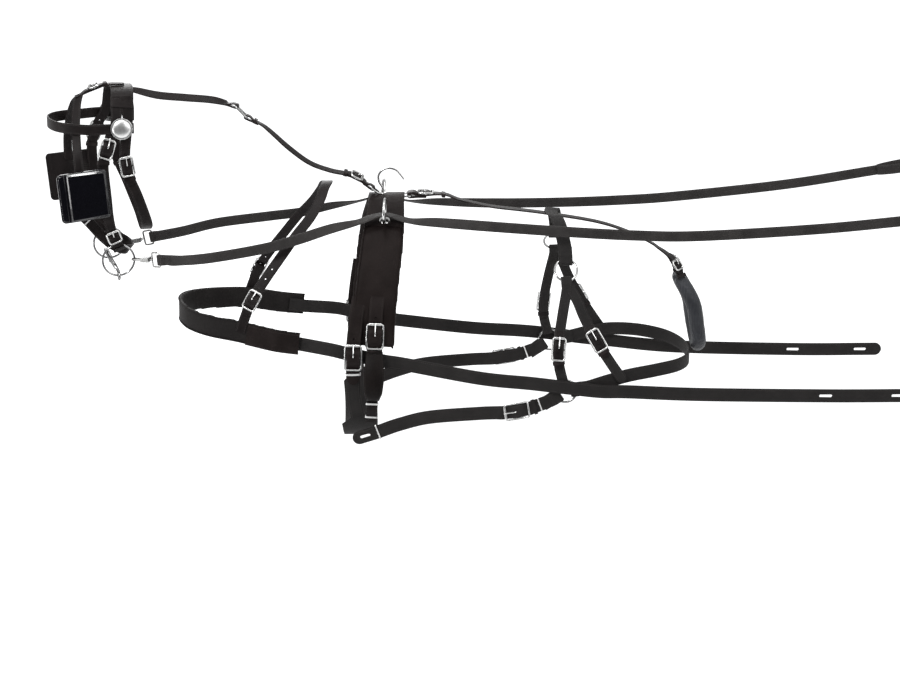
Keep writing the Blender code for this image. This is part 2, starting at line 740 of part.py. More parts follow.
stay = Route(STAY_SHARES, [(0, 0, 1)], zones=((2, NARROW * 0.7, NARROW * 0.7),), head=True)
stay_mesh = ribbon(stay, 0.0, stay.length, SLIM, tip=-1)
stay_mesh = sewn_buckle(stay.frame(stay.mid(2)), SLIM, stay_mesh, 0.6)
for side, mirror in SIDES:
    branch = Route(STAY_BRANCH_SHARES, STAY_BRANCH_FACES, mirror=mirror, head=True)
    lift = GAP * (1 if mirror else 2)
    stay_mesh = join(stay_mesh, ribbon(branch, 0.0, branch.length, SLIM, lift=lift, tip=1))
new_object("winker_stay", stay_mesh, LEATHER)

for side, mirror in SIDES:
    place = turned(WINKER_CENTRE_SHARES, WINKER_FACE, WINKER_TOP, head=True, mirror=mirror)
    outline = rounded(WINKER_SIDE, WINKER_SIDE, WINKER_CORNER)
    new_object("winker_" + side, plate(place, outline, WINKER_THICK), PATENT)

nose = Route(NOSE_SHARES, NOSE_FACES, head=True, closed=True)


def closed_ribbon(route, width, thick=STRAP):
    """Sweep a strap that closes on itself."""
    sections = []
    for knot in route.knots[:-1]:
        place, along, out, side = knot[1], knot[3], knot[2], knot[2].cross(knot[3])
        wide = width / 2
        deep = thick / 2
        sections.append([
            place + side * wide + out * deep, place - side * wide + out * deep,
            place - side * wide - out * deep, place + side * wide - out * deep,
        ])
    return mesh_from(sections, True)


new_object("noseband", closed_ribbon(nose, NARROW), LEATHER)

bit_frames = {}
for side, mirror in SIDES:
    place = turned(BIT_CENTRE_SHARES, (0, -1, 0), (0, 0, 1), head=True, mirror=mirror)
    bit_frames[side] = place
    centre = place.to_translation()
    new_object("bit_ring_" + side, ring(place, BIT_RADIUS, RING_WIRE, 24), CHROME, centre)
mouth_points = [HEAD @ (Vector(p) * SPAN) for p in MOUTH_MIDDLE_SHARES]
eyes = []
for side, mirror in SIDES:
    middle = bit_frames[side] @ Matrix.Translation((0, -EYE_DROP, 0))
    mouth_end = middle @ Vector((0, RING_WIRE * 2, -EYE_RADIUS))
    mouth_points.insert(len(mouth_points) if mirror else 0, mouth_end)
    eyes.append(ring(middle @ Matrix.Rotation(math.pi / 2, 4, "Y"), EYE_RADIUS, EYE_WIRE, 12, 6))
mouth = join(wire(mouth_points, RING_WIRE * 2.0, False, 8), *eyes)
bit_axis = (bit_frames["left"].to_translation() + bit_frames["right"].to_translation()) * 0.5
new_object("bit_mouthpiece", mouth, CHROME, bit_axis)

# Check: two straps joined by a link, from the crown to the hook on the saddle.
CHECK_FRONT_SHARES = [
    (-0.4740, 0.0, 0.1914), (-0.4520, -0.001, 0.1868), (-0.4100, -0.003, 0.1750),
    (-0.3600, 0.002, 0.1675), (-0.3100, 0.001, 0.1670), (-0.2700, 0.0, 0.1575),
]
CHECK_FRONT_FACES = [(0.01, -0.05, 1), (0, -0.15, 1), (0, -0.8, 1), (0, -0.8, 1), (0, -0.4, 1), (0, 0, 1)]
CHECK_REAR_SHARES = [
    (-0.2505, 0.0, 0.1370), (-0.2250, 0.0, 0.1235), (-0.2091, 0.0, 0.1110), (-0.1733, 0.0, 0.0780),
    (-0.1372, 0.0, 0.0515), (-0.1007, 0.0, 0.0375), (-0.0733, 0.0, 0.0315), (-0.0530, 0.0, 0.0245),
    (-0.0380, 0.0, 0.0145), (-0.0235, 0.0, 0.0050),
]
LINK_HALF_SHARE = 0.0125

check_front = Route(CHECK_FRONT_SHARES, CHECK_FRONT_FACES, zones=((5, SLIM, 0.0),))
mesh = ribbon(check_front, 0.0, check_front.length - loop_reach(WIRE), SLIM)
new_object("check_front_strap", end_loop(check_front, False, mesh, SLIM, WIRE, 0.0), LEATHER)

check_rear = Route(
    CHECK_REAR_SHARES, [(0, 0, 1)],
    zones=((0, 0.0, SLIM), (7, SLIM * 0.7, SLIM * 0.7), (9, SLIM * 0.6, 0.0)),
)
mesh = ribbon(check_rear, loop_reach(WIRE), check_rear.length - loop_reach(WIRE), SLIM)
mesh = sewn_buckle(check_rear.frame(check_rear.mid(7)), SLIM, mesh, 0.7)
mesh = end_loop(check_rear, True, mesh, SLIM, WIRE, 0.0)
mesh = end_loop(check_rear, False, mesh, SLIM, WIRE, 0.0)
new_object("check_rear_strap", mesh, LEATHER)

link_a = Vector(CHECK_FRONT_SHARES[-1]) * SPAN
link_b = Vector(CHECK_REAR_SHARES[0]) * SPAN
along = (link_b - link_a).normalized()
link_frame = Matrix.Translation((link_a + link_b) / 2) @ Matrix(
    (along, Vector((0, 1, 0)), along.cross(Vector((0, 1, 0))))
).transposed().to_4x4()
link_outline = rounded((link_b - link_a).length, SLIM + WIRE * 4, WIRE * 1.5, 2)
link_points = [link_frame @ Vector((x, y, 0)) for x, y in link_outline]
link = wire(link_points, WIRE, True, WIRE_SIDES, link_frame.to_3x3() @ Vector((0, 0, 1)))
new_object("check_link", link, CHROME)

# Saddle: a narrow padded band over the back, with its dee, billets and fittings.
SADDLE_SHARES = [
    (-0.0257, -0.1595, -0.2560), (-0.0200, -0.1565, -0.1850), (-0.0140, -0.1430, -0.1300),
    (-0.0075, -0.1190, -0.0860), (-0.0027, -0.0850, -0.0530), (0.0015, -0.0450, -0.0255),
    (0.0035, 0.0, -0.0120),
]
SADDLE_FACES = [
    (0, -1, 0), (0, -1, 0.08), (0, -1, 0.35), (0, -1, 0.75), (0, -0.65, 1), (0, -0.35, 1), (0, 0, 1),
]
TUG_SHARES = [
    (-0.0140, -0.1530, -0.1500), (-0.0185, -0.1650, -0.1900), (-0.0220, -0.1730, -0.2340),
    (-0.0250, -0.1745, -0.2640),
]
# The tug's loop starts just below its buckle, so the end of the tug follows the loop's length.
TUG_CLEARANCE = 0.001
TUG_DROP = (BUCKLE + TUG_CLEARANCE + TUG_LOOP_LENGTH) / SPAN
TUG_END_SHARES = (-0.0255, -0.1745, TUG_SHARES[2][2] - TUG_DROP)
TUG_BORE_SHARE = 0.94
TUG_WALL_SHARE = 1.15
TUG_FOOT_SHARE = 0.4
TUG_TOP_SHARE = 0.55
TUG_FLAT_FROM = -0.1
TUG_FACES = [(0, -1, 0.25), (0, -1, 0.15), (0, -1, 0.05), (0, -1, 0), (0, -1, 0)]
GIRTH_SHARES = [
    (-0.0490, -0.1560, -0.1650), (-0.0550, -0.1680, -0.2050), (-0.0598, -0.1745, -0.2450),
    (-0.0610, -0.1755, -0.2720), (-0.0612, -0.1745, -0.3050), (-0.0600, -0.1700, -0.3522),
    (-0.0530, -0.1570, -0.3940), (-0.0490, -0.1200, -0.4310), (-0.0480, -0.0620, -0.4520),
    (-0.0480, 0.0, -0.4570),
]
GIRTH_FACES = [
    (0, -1, 0.25), (0, -1, 0.12), (0, -1, 0.04), (0, -1, 0), (0, -1, -0.04), (0, -1, -0.2), (0, -1, -0.5),
    (0, -0.7, -1), (0, -0.3, -1), (0, 0, -1),
]

DEE_SHARES = (0.0355, 0.0, -0.0090)
DEE_LENGTH = 0.024


def both_sides(places):
    """Carry a near side table over to the far side."""
    return list(places) + [(x, -y, z) for x, y, z in places[-2::-1]]


saddle = Route(both_sides(SADDLE_SHARES), both_sides(SADDLE_FACES), even=True)


def saddle_width(s):
    share = abs(s / saddle.length - 0.5) * 2
    return PAD_TOP_WIDTH + (PAD_WIDTH - PAD_TOP_WIDTH) * min(share / 0.4, 1.0)


saddle_mesh = ribbon(saddle, 0.0, saddle.length, saddle_width, PAD, tip=0)
tug_routes = {}
girth = Route(
    both_sides(GIRTH_SHARES), both_sides(GIRTH_FACES), even=True,
    zones=((3, BUCKLE, BUCKLE), (15, BUCKLE, BUCKLE)),
)
for side, mirror in SIDES:
    tug = Route(
        [*TUG_SHARES, TUG_END_SHARES], TUG_FACES, mirror=mirror,
        zones=((2, BUCKLE, BUCKLE), (4, TUG_LOOP_LENGTH, 0.0)),
    )
    tug_routes[side] = tug
    at = tug.mid(2)
    billet = ribbon(
        tug, 0.0, at + BUCKLE, WIDE, lift=hump_rule(at, WIDE), extra=hump_stations(at, WIDE), tip=1,
    )
    saddle_mesh = join(saddle_mesh, tongue_slot(tug.frame(at), WIDE, billet))
    at = girth.mid(3 if side == "left" else 15)
    if side == "left":
        billet = ribbon(
            girth, 0.0, at + BUCKLE + WIDE, WIDE, lift=hump_rule(at, WIDE),
            extra=hump_stations(at, WIDE), tip=1,
        )
        place = girth.frame(at)
    else:
        billet = ribbon(
            girth, at - BUCKLE - WIDE, girth.length, WIDE, lift=hump_rule(at, WIDE),
            extra=hump_stations(at, WIDE), tip=-1,
        )
        place = girth.frame(at) @ Matrix.Rotation(math.pi, 4, "Z")
    saddle_mesh = join(saddle_mesh, tongue_slot(place, WIDE, billet))
dee_place = Matrix.Translation(Vector(DEE_SHARES) * SPAN)
dee_outline = rounded(DEE_LENGTH, WIDE + WIRE * 5, WIRE * 2, 2)
dee_points = [dee_place @ Vector((x, y, 0)) for x, y in dee_outline]
saddle_mesh = join(saddle_mesh, wire(dee_points, WIRE, True, WIRE_SIDES, Vector((0, 0, 1))))
new_object("saddle_pad", saddle_mesh, PADDING)

for side, mirror in SIDES:
    tug = tug_routes[side]
    at = tug.mid(2)
    place = tug.frame(at)
    strap = tab_fold(place, WIDE, ribbon(tug, at, tug.length - TUG_LOOP_LENGTH * 0.93, WIDE, lift=TAB_LIFT))
    loop_place = tug.frame(tug.length - TUG_LOOP_LENGTH * 0.5)
    half_length = TUG_LOOP_LENGTH * 0.5 * TUG_BORE_SHARE
    bore_foot = TAB_LIFT + STRAP * TUG_FOOT_SHARE
    grow = STRAP * TUG_WALL_SHARE
    inner = []
    outer = []
    steps = 16
    for k in range(steps):
        angle = math.tau * k / steps
        x = -math.cos(angle)
        lean = 0.5 + 0.5 * x
        if math.sin(angle) >= 0:
            z = bore_foot + TUG_LOOP_DEPTH * math.sin(angle) * (TUG_TOP_SHARE + (1 - TUG_TOP_SHARE) * lean)
        else:
            z = bore_foot + STRAP * TUG_FOOT_SHARE * math.sin(angle)
        inner.append((x * half_length, z))
        away = Vector((x * TUG_LOOP_DEPTH * 0.6, z - TAB_LIFT - TUG_LOOP_DEPTH * 0.3)).normalized()
        if math.sin(angle) < TUG_FLAT_FROM:
            away = Vector((0.0, -1.0))
        outer.append((x * half_length + away.x * grow, z + away.y * grow))
    strap = join(strap, hollow(loop_place, inner, outer, TUG_WIDTH))
    new_object("tug_" + side, strap, LEATHER)
    new_object("tug_buckle_" + side, buckle_frame(place, WIDE), CHROME)
    new_object("tug_tongue_" + side, loose_tongue(place, WIDE), CHROME, place.to_translation())

left_at = girth.mid(3)
right_at = girth.mid(15)
FLARE_START_SHARE = 0.40
FLARE_STOP_SHARE = 0.46


def girth_width(s):
    middle = girth.length / 2
    reach = (right_at - left_at) / 2
    share = 1 - abs(s - middle) / reach
    grown = (share - FLARE_START_SHARE) / (FLARE_STOP_SHARE - FLARE_START_SHARE)
    return WIDE + (GIRTH_WIDTH - WIDE) * min(max(grown, 0.0), 1.0)


flares = []
for share in (FLARE_START_SHARE, FLARE_STOP_SHARE):
    flares.append(left_at + (right_at - left_at) / 2 * share)
    flares.append(right_at - (right_at - left_at) / 2 * share)
girth_mesh = ribbon(girth, left_at, right_at, girth_width, lift=TAB_LIFT, extra=flares)
left_place = girth.frame(left_at)
right_place = girth.frame(right_at) @ Matrix.Rotation(math.pi, 4, "Z")
girth_mesh = tab_fold(left_place, WIDE, girth_mesh)
girth_mesh = tab_fold(right_place, WIDE, girth_mesh)
new_object("girth", girth_mesh, WEBBING)
for side, place in (("left", left_place), ("right", right_place)):
    new_object("girth_buckle_" + side, join(buckle_frame(place, WIDE), tongue_shank(place, WIDE)), CHROME)

HOOK_SHARES = [
    (-0.0040, 0.0, -0.0050), (-0.0050, 0.0, 0.0060), (-0.0105, 0.0, 0.0150), (-0.0120, 0.0, 0.0260),
    (-0.0070, 0.0, 0.0350), (0.0020, 0.0, 0.0400), (0.0130, 0.0, 0.0400), (0.0220, 0.0, 0.0360),
    (0.0290, 0.0, 0.0280), (0.0350, 0.0, 0.0200),
]
HOOK_BASE_SHARES = (-0.0040, 0.0, -0.0066)
FRONT_DEE_SHARES = [
    (-0.0060, -0.0070, -0.0052), (-0.0140, -0.0110, -0.0030), (-0.0220, -0.0115, 0.0035),
    (-0.0235, -0.0100, 0.0050), (-0.0235, 0.0100, 0.0050), (-0.0220, 0.0115, 0.0035),
    (-0.0140, 0.0110, -0.0030), (-0.0060, 0.0070, -0.0052),
]
hook_points = [Vector(p) * SPAN for p in HOOK_SHARES]
hook = wire(hook_points, WIRE, False, 8, Vector((0, 1, 0)))
hook_base = Matrix.Translation(Vector(HOOK_BASE_SHARES) * SPAN)
front_dee = [Vector(p) * SPAN for p in FRONT_DEE_SHARES]
hook = join(hook, disc(hook_base, SLIM * 0.55, STRAP, 16), wire(front_dee, WIRE))
new_object("check_hook", hook, CHROME)

TERRET_PLACE_SHARE = 0.370
TERRET_STEM = TERRET_WIRE * 2.3
for side, mirror in SIDES:
    foot = saddle.frame(saddle.length * (1 - TERRET_PLACE_SHARE if mirror else TERRET_PLACE_SHARE))
    height = PAD / 2 + GAP + TERRET_STEM + TERRET_RADIUS
    place = foot @ Matrix.Translation((0, 0, height)) @ Matrix.Rotation(math.pi / 2, 4, "X")
    stem = [place @ Vector((0, -TERRET_RADIUS - drop, 0)) for drop in (0.0, TERRET_STEM)]
    terret = join(ring(place, TERRET_RADIUS, TERRET_WIRE), wire(stem, TERRET_WIRE, False, 8))
    new_object("terret_" + side, terret, CHROME)

# Breast collar, neck strap and traces.
COLLAR_SHARES = [
    (-0.1571, -0.1500, -0.2513), (-0.2014, -0.1440, -0.2458), (-0.2650, -0.1310, -0.2331),
    (-0.3200, -0.1080, -0.2275), (-0.3560, -0.0770, -0.2230), (-0.3750, -0.0400, -0.2190),
    (-0.3817, 0.0, -0.2180),
]
COLLAR_FACES = [
    (-0.1, -1, 0), (-0.15, -1, 0), (-0.3, -1, 0), (-0.6, -1, 0), (-1, -0.75, 0), (-1, -0.35, 0),
    (-1, 0, 0),
]
# The neck strap's tab lies on the collar's face, so its foot follows the collar's thickness.
TAB_FOOT_OUT = (COLLAR / 2 + STRAP / 2 - TAB_LIFT + GAP * 0.6) / SPAN
TAB_FOOT_Y = COLLAR_SHARES[2][1] - TAB_FOOT_OUT
NECK_SHARES = [
    (-0.2650, TAB_FOOT_Y, -0.2330), (-0.2560, TAB_FOOT_Y, -0.2060), (-0.2420, -0.1370, -0.1740),
    (-0.2126, -0.1250, -0.1306), (-0.1908, -0.1140, -0.1015), (-0.1636, -0.0990, -0.0658),
    (-0.1365, -0.0800, -0.0345), (-0.1190, -0.0560, -0.0070), (-0.1116, -0.0300, 0.0100),
    (-0.1054, 0.0, 0.0175),
]
NECK_FACES = [
    (-0.2, -1, 0.1), (-0.2, -1, 0.1), (-0.2, -1, 0.2), (-0.2, -1, 0.25), (-0.2, -1, 0.35),
    (-0.2, -1, 0.5), (-0.1, -1, 0.7), (-0.1, -1, 1), (0, -0.6, 1), (0, 0, 1),
]
TRACE_SHARES = [
    (-0.1850, -0.1395, -0.2500), (-0.1571, -0.1440, -0.2540), (-0.1010, -0.1580, -0.2616),
    (-0.0715, -0.1620, -0.2680), (-0.0073, -0.1610, -0.2826), (0.0326, -0.1620, -0.2892),
    (0.1675, -0.1830, -0.3106), (0.2600, -0.1915, -0.3190), (0.3200, -0.1948, -0.3260),
    (0.3842, -0.1925, -0.3346), (0.4356, -0.1840, -0.3384), (0.5688, -0.1700, -0.3488),
    (0.8000, -0.1650, -0.3551), (0.9330, -0.1650, -0.3560), (0.9750, -0.1650, -0.3560),
]
collar = Route(both_sides(COLLAR_SHARES), both_sides(COLLAR_FACES), even=True)
neck_zones = ((2, SMALL_BUCKLE, SMALL_BUCKLE), (16, SMALL_BUCKLE, SMALL_BUCKLE))
neck = Route(both_sides(NECK_SHARES), both_sides(NECK_FACES), zones=neck_zones, even=True)


def collar_thick(s):
    end = min(s, collar.length - s)
    return STRAP * 1.6 + (COLLAR - STRAP * 1.6) * min(end / COLLAR_WIDTH, 1.0)


collar_bends = (COLLAR_WIDTH, collar.length - COLLAR_WIDTH)
collar_mesh = ribbon(collar, 0.0, collar.length, COLLAR_WIDTH, collar_thick, extra=collar_bends)
neck_low = neck.mid(2)
neck_high = neck.mid(16)
low_place = neck.frame(neck_low) @ Matrix.Rotation(math.pi, 4, "Z")
high_place = neck.frame(neck_high)
tab = tab_fold(low_place, NARROW, ribbon(neck, 0.0, neck_low, NARROW, lift=TAB_LIFT))
collar_mesh = join(collar_mesh, tab)
tab = tab_fold(high_place, NARROW, ribbon(neck, neck_high, neck.length, NARROW, lift=TAB_LIFT))
collar_mesh = join(collar_mesh, tab)
new_object("breast_collar", collar_mesh, WEBBING)


def neck_lift(s):
    return hump_rule(neck_low if s < neck.length / 2 else neck_high, NARROW)(s)


neck_mesh = ribbon(
    neck, neck_low - SMALL_BUCKLE * 1.5, neck_high + SMALL_BUCKLE * 1.5, NARROW, lift=neck_lift,
    extra=hump_stations(neck_low, NARROW) + hump_stations(neck_high, NARROW), tip=2,
)
for side, place in (("left", low_place), ("right", high_place)):
    neck_mesh = tongue_slot(place, NARROW, neck_mesh)
    new_object("neck_buckle_" + side, buckle_frame(place, NARROW), CHROME)
    new_object("neck_tongue_" + side, loose_tongue(place, NARROW), CHROME, place.to_translation())
new_object("neck_strap", neck_mesh, LEATHER)

for side, mirror in SIDES:
    trace = Route(TRACE_SHARES, [(0, -1, 0)], mirror=mirror)
    trace_mesh = ribbon(trace, 0.0, trace.length, WIDE, tip=1)
    for mark in (12, 13):
        place = trace.frame(trace.mid(mark))
        cutter = plate(place, stadium(-SLOT_LENGTH / 2, SLOT_LENGTH / 2, SLOT_WIDTH / 2), STRAP * 3)
        trace_mesh = combine(trace_mesh, cutter, "DIFFERENCE")
    new_object("trace_" + side, trace_mesh, WEBBING)

# Back strap, crupper, hip straps and breeching.
BACK_SHARES = [
    (0.0475, 0.0, -0.0090), (0.0750, 0.0, -0.0090), (0.1106, 0.0, -0.0110), (0.1347, 0.0, -0.0178),
    (0.1939, 0.0, -0.0314), (0.2532, 0.0, -0.0390), (0.2997, 0.0, -0.0455), (0.3891, 0.0, -0.0611),
    (0.4472, 0.0, -0.0795), (0.4925, 0.0, -0.1017), (0.5249, 0.0, -0.1244),
]
FORK_SHARES = [
    (0.5000, -0.0086, -0.1065), (0.5249, -0.0115, -0.1244), (0.5400, -0.017, -0.1440),
    (0.5500, -0.024, -0.1640),
]
FORK_FACES = [(0.5, 0, 1), (0.6, -0.3, 1), (0.7, -0.8, 0.8), (0.5, -1, 0.5)]
CRUPPER_SHARES = [
    (0.5445, -0.0150, -0.1655), (0.5580, -0.0240, -0.1850), (0.5730, -0.0320, -0.2150),
    (0.5800, -0.0320, -0.2550), (0.5850, -0.0230, -0.2830), (0.5866, 0.0, -0.2970),
]
HIP_RING_SHARES = (0.3252, -0.1271, -0.1252)
HIP_RING_FACE = (0, -0.84, 0.54)
HIP_RING_UP = (0, 0.54, 0.84)
HIP_RING_DOWN = (0, -0.54, -0.84)
BREECH_RING_SHARES = (0.3220, -0.1840, -0.3360)


def on_ring(centre, way):
    """Return the place on a harness ring's wire that lies the given way from its centre."""
    return tuple(Vector(centre) + Vector(way).normalized() * (RING_RADIUS / SPAN))


HIP_SHARES = [
    on_ring(HIP_RING_SHARES, HIP_RING_UP), (0.3252, -0.1062, -0.0930), (0.3225, -0.0930, -0.0760),
    (0.3180, -0.0700, -0.0550), (0.3131, -0.0400, -0.0440),
]
HIP_FACES = [(0, -0.84, 0.54), (0, -0.84, 0.54), (0, -0.8, 0.8), (0, -0.6, 1), (0.1, -0.25, 1)]
HIP_CROSSING_SHARE = 0.0083
FRONT_DROP_SHARES = [
    on_ring(HIP_RING_SHARES, HIP_RING_DOWN), (0.3252, -0.1474, -0.1568), (0.3170, -0.1620, -0.2000),
    (0.3095, -0.1740, -0.2480), (0.3090, -0.1815, -0.2780), (0.3125, -0.1840, -0.2990),
    on_ring(BREECH_RING_SHARES, (-0.25, 0, 1)),
]
FRONT_DROP_FACES = [
    (0, -0.84, 0.54), (0, -0.88, 0.45), (0, -1, 0.3), (0, -1, 0.2), (0, -1, 0.1), (0, -1, 0),
    (0, -1, 0),
]
REAR_DROP_SHARES = [
    (0.3280, -0.1430, -0.1500), (0.3430, -0.1540, -0.1740), (0.3560, -0.1640, -0.2040),
    (0.3760, -0.1740, -0.2420), (0.4030, -0.1800, -0.2840), (0.4280, -0.1812, -0.3200),
]
REAR_DROP_FACES = [(0, -0.87, 0.5), (0, -0.9, 0.4), (0, -1, 0.3), (0, -1, 0.2), (0, -1, 0.1), (0, -1, 0)]
SEAT_SHARES = [
    on_ring(BREECH_RING_SHARES, (1, 0, 0.17)), (0.3620, -0.1840, -0.3293), (0.4000, -0.1790, -0.3190),
    (0.4400, -0.1700, -0.3110), (0.4900, -0.1480, -0.3080), (0.5350, -0.1100, -0.3090),
    (0.5600, -0.0600, -0.3110), (0.5680, 0.0, -0.3120),
]
SEAT_FACES = [
    (0, -1, 0), (0, -1, 0), (0.1, -1, 0), (0.3, -1, 0), (0.6, -1, 0), (1, -0.8, 0), (1, -0.35, 0),
    (1, 0, 0),
]
HOLDBACK_SHARES = [
    on_ring(BREECH_RING_SHARES, (-1, 0, -0.62)), (0.2886, -0.1840, -0.3560), (0.2344, -0.1860, -0.3726),
    (0.1675, -0.1860, -0.3756), (0.0771, -0.1840, -0.3825), (0.0229, -0.1820, -0.3958),
    (-0.0134, -0.1810, -0.4089), (-0.0397, -0.1800, -0.4187), (-0.0625, -0.1790, -0.4250),
]

back = Route(BACK_SHARES, [(0, 0, 1)], zones=((0, 0.0, LOOP_ZONE), (1, WIDE * 0.6, WIDE * 0.6)))


def back_lift(s):
    rise = math.sin(math.pi * min(max((s - back.mid(1)) / (back.mid(3) - back.mid(1)), 0.0), 1.0))
    return rise * STRAP


back_mesh = ribbon(back, loop_reach(WIRE), back.length, WIDE, STRAP, back_lift)
back_mesh = sewn_buckle(back.frame(back.mid(1)), WIDE, back_mesh, 0.6)
back_mesh = end_loop(back, True, back_mesh, WIDE, WIRE, 0.0)
for side, mirror in SIDES:
    fork = Route(FORK_SHARES, FORK_FACES, zones=((2, SLIM * 0.5, SLIM * 0.5),), mirror=mirror)
    branch = ribbon(fork, 0.0, fork.length, SLIM, lift=GAP * (2 if mirror else 1), tip=1)
    branch = sewn_buckle(fork.frame(fork.mid(2)), SLIM, branch, 0.62)
    back_mesh = join(back_mesh, branch)
new_object("back_strap", back_mesh, LEATHER)


def tube(points, radii, sides=10):
    """Sweep a round padded roll whose radius changes along its line."""
    sections = []
    for i, p in enumerate(points):
        before = points[max(i - 1, 0)]
        after = points[min(i + 1, len(points) - 1)]
        along = (after - before).normalized()
        first = across(Vector((1, 0, 0.2)), along)
        second = along.cross(first)
        section = []
        for k in range(sides):
            angle = math.tau * k / sides
            section.append(p + (first * math.cos(angle) + second * math.sin(angle)) * radii[i])
        sections.append(section)
    return mesh_from(sections)


CRUPPER_RAMP_SHARE = 0.12
crupper = Route(both_sides(CRUPPER_SHARES), [(1, 0, 0.2)], even=True)
crupper_points = [k[1] for k in crupper.knots]
crupper_radii = []
for k in crupper.knots:
    end = min(k[0], crupper.length - k[0]) / crupper.length
    crupper_radii.append(CRUPPER_NECK + (CRUPPER_RADIUS - CRUPPER_NECK) * min(end / CRUPPER_RAMP_SHARE, 1.0))
new_object("crupper", tube(crupper_points, crupper_radii), PADDING)

crossing = back.frame(back.mid(6) + SPAN * HIP_CROSSING_SHARE)
over = crossing @ Vector((0, 0, STRAP + GAP)) / SPAN
up = tuple(crossing.to_3x3() @ Vector((0, 0, 1)))
beside = STRAP * 7 / SPAN
hip_places = both_sides(HIP_SHARES + [(over.x, -beside, over.z), (over.x, 0.0, over.z)])
hip = Route(
    hip_places, both_sides(HIP_FACES + [up, up]), zones=((0, 0.0, LOOP_ZONE), (12, LOOP_ZONE, 0.0)), even=True,
)
hip_mesh = ribbon(hip, loop_reach(RING_WIRE), hip.length - loop_reach(RING_WIRE), WIDE)
hip_mesh = end_loop(hip, True, hip_mesh, WIDE, RING_WIRE, RING_RADIUS)
hip_mesh = end_loop(hip, False, hip_mesh, WIDE, RING_WIRE, RING_RADIUS)
new_object("hip_strap", hip_mesh, LEATHER)

for side, mirror in SIDES:
    hip_place = turned(HIP_RING_SHARES, HIP_RING_FACE, HIP_RING_UP, mirror=mirror)
    centre = hip_place.to_translation()
    new_object("hip_ring_" + side, ring(hip_place, RING_RADIUS, RING_WIRE), CHROME, centre)
    breech_place = turned(BREECH_RING_SHARES, (0, -1, 0), (0, 0, 1), mirror=mirror)
    centre = breech_place.to_translation()
    new_object("breeching_ring_" + side, ring(breech_place, RING_RADIUS, RING_WIRE), CHROME, centre)

    front = Route(
        FRONT_DROP_SHARES, FRONT_DROP_FACES, mirror=mirror,
        zones=((0, 0.0, LOOP_ZONE), (3, SMALL_BUCKLE, SMALL_BUCKLE), (6, LOOP_ZONE, 0.0)),
    )
    drop = ribbon(front, loop_reach(RING_WIRE), front.length - loop_reach(RING_WIRE), NARROW)
    drop = sewn_buckle(front.frame(front.mid(3)), NARROW, drop, 0.8)
    drop = end_loop(front, True, drop, NARROW, RING_WIRE, RING_RADIUS)
    drop = end_loop(front, False, drop, NARROW, RING_WIRE, RING_RADIUS)
    rear = Route(REAR_DROP_SHARES, REAR_DROP_FACES, mirror=mirror, zones=((3, SMALL_BUCKLE, SMALL_BUCKLE),))
    strap = ribbon(rear, 0.0, rear.length, NARROW, lift=GAP * 2, tip=1)
    strap = sewn_buckle(rear.frame(rear.mid(3)), NARROW, strap, 0.8)
    new_object("hip_drop_" + side, join(drop, strap), LEATHER)

    holdback = Route(
        HOLDBACK_SHARES, [(0, -1, 0)], mirror=mirror,
        zones=((0, 0.0, LOOP_ZONE), (2, BUCKLE, BUCKLE), (7, SLOT_LENGTH, SLOT_LENGTH)),
    )
    strap = ribbon(holdback, loop_reach(RING_WIRE), holdback.length, WIDE, tip=1)
    strap = sewn_buckle(holdback.frame(holdback.mid(2)), WIDE, strap, 0.95)
    strap = end_loop(holdback, True, strap, WIDE, RING_WIRE, RING_RADIUS)
    place = holdback.frame(holdback.mid(7))
    cutter = plate(place, stadium(-SLOT_LENGTH * 0.4, SLOT_LENGTH * 0.4, SLOT_WIDTH / 2), STRAP * 3)
    new_object("holdback_" + side, combine(strap, cutter, "DIFFERENCE"), WEBBING)

seat_zones = ((0, 0.0, LOOP_ZONE), (14, LOOP_ZONE, 0.0))
seat = Route(both_sides(SEAT_SHARES), both_sides(SEAT_FACES), zones=seat_zones, even=True)
seat_mesh = ribbon(seat, loop_reach(RING_WIRE), seat.length - loop_reach(RING_WIRE), WIDE, STRAP * 1.4)
seat_mesh = end_loop(seat, True, seat_mesh, WIDE, RING_WIRE, RING_RADIUS)
seat_mesh = end_loop(seat, False, seat_mesh, WIDE, RING_WIRE, RING_RADIUS)
new_object("breeching_seat", seat_mesh, WEBBING)

# Reins: each clips to its bit ring by a snap and runs back through its terret.
REIN_SHARES = [
    (-0.4080, -0.0640, -0.1200), (-0.3800, -0.0780, -0.1130), (-0.3161, -0.1200, -0.0989),
    (-0.2188, -0.1360, -0.0790), (-0.1593, -0.1250, -0.0657), (-0.1002, -0.1080, -0.0500),
    (-0.0509, -0.0980, -0.0400), (-0.0040, -0.0890, -0.0280), (0.0450, -0.0940, -0.0390),
    (0.1000, -0.0980, -0.0420), (0.2045, -0.1120, -0.0480), (0.3277, -0.1290, -0.0540),
    (0.4503, -0.1420, -0.0587), (0.5625, -0.1550, -0.0576), (0.7752, -0.1700, -0.0432),
    (0.9500, -0.1760, -0.0260),
]
FAR_RISE_SHARES = [
    0.0200, 0.0220, 0.0150, 0.0040, 0.0, 0.0, 0.0, 0.0,
    0.0, 0.0, 0.0, 0.0030, 0.0087, 0.0120, 0.0165, 0.0250,
]
REIN_FACES = [
    (0, -1, 0), (0, -1, 0), (0, -1, 0.05), (0, -1, 0.1), (0, -1, 0.2), (0, -0.8, 0.6), (0, -0.3, 1),
    (0, -0.1, 1), (0, -0.3, 1), (0, -0.8, 0.6), (0, -1, 0.1), (0, -1, 0.1), (0, -1, 0), (0, -1, 0),
    (0, -1, 0), (0, -1, 0),
]


def rein_places(mirror):
    """Return one rein's places; the far one is held a little higher, and starts higher at the bit."""
    rises = FAR_RISE_SHARES if mirror else [0.0] * len(REIN_SHARES)
    return [(x, y, z + rise) for (x, y, z), rise in zip(REIN_SHARES, rises)]


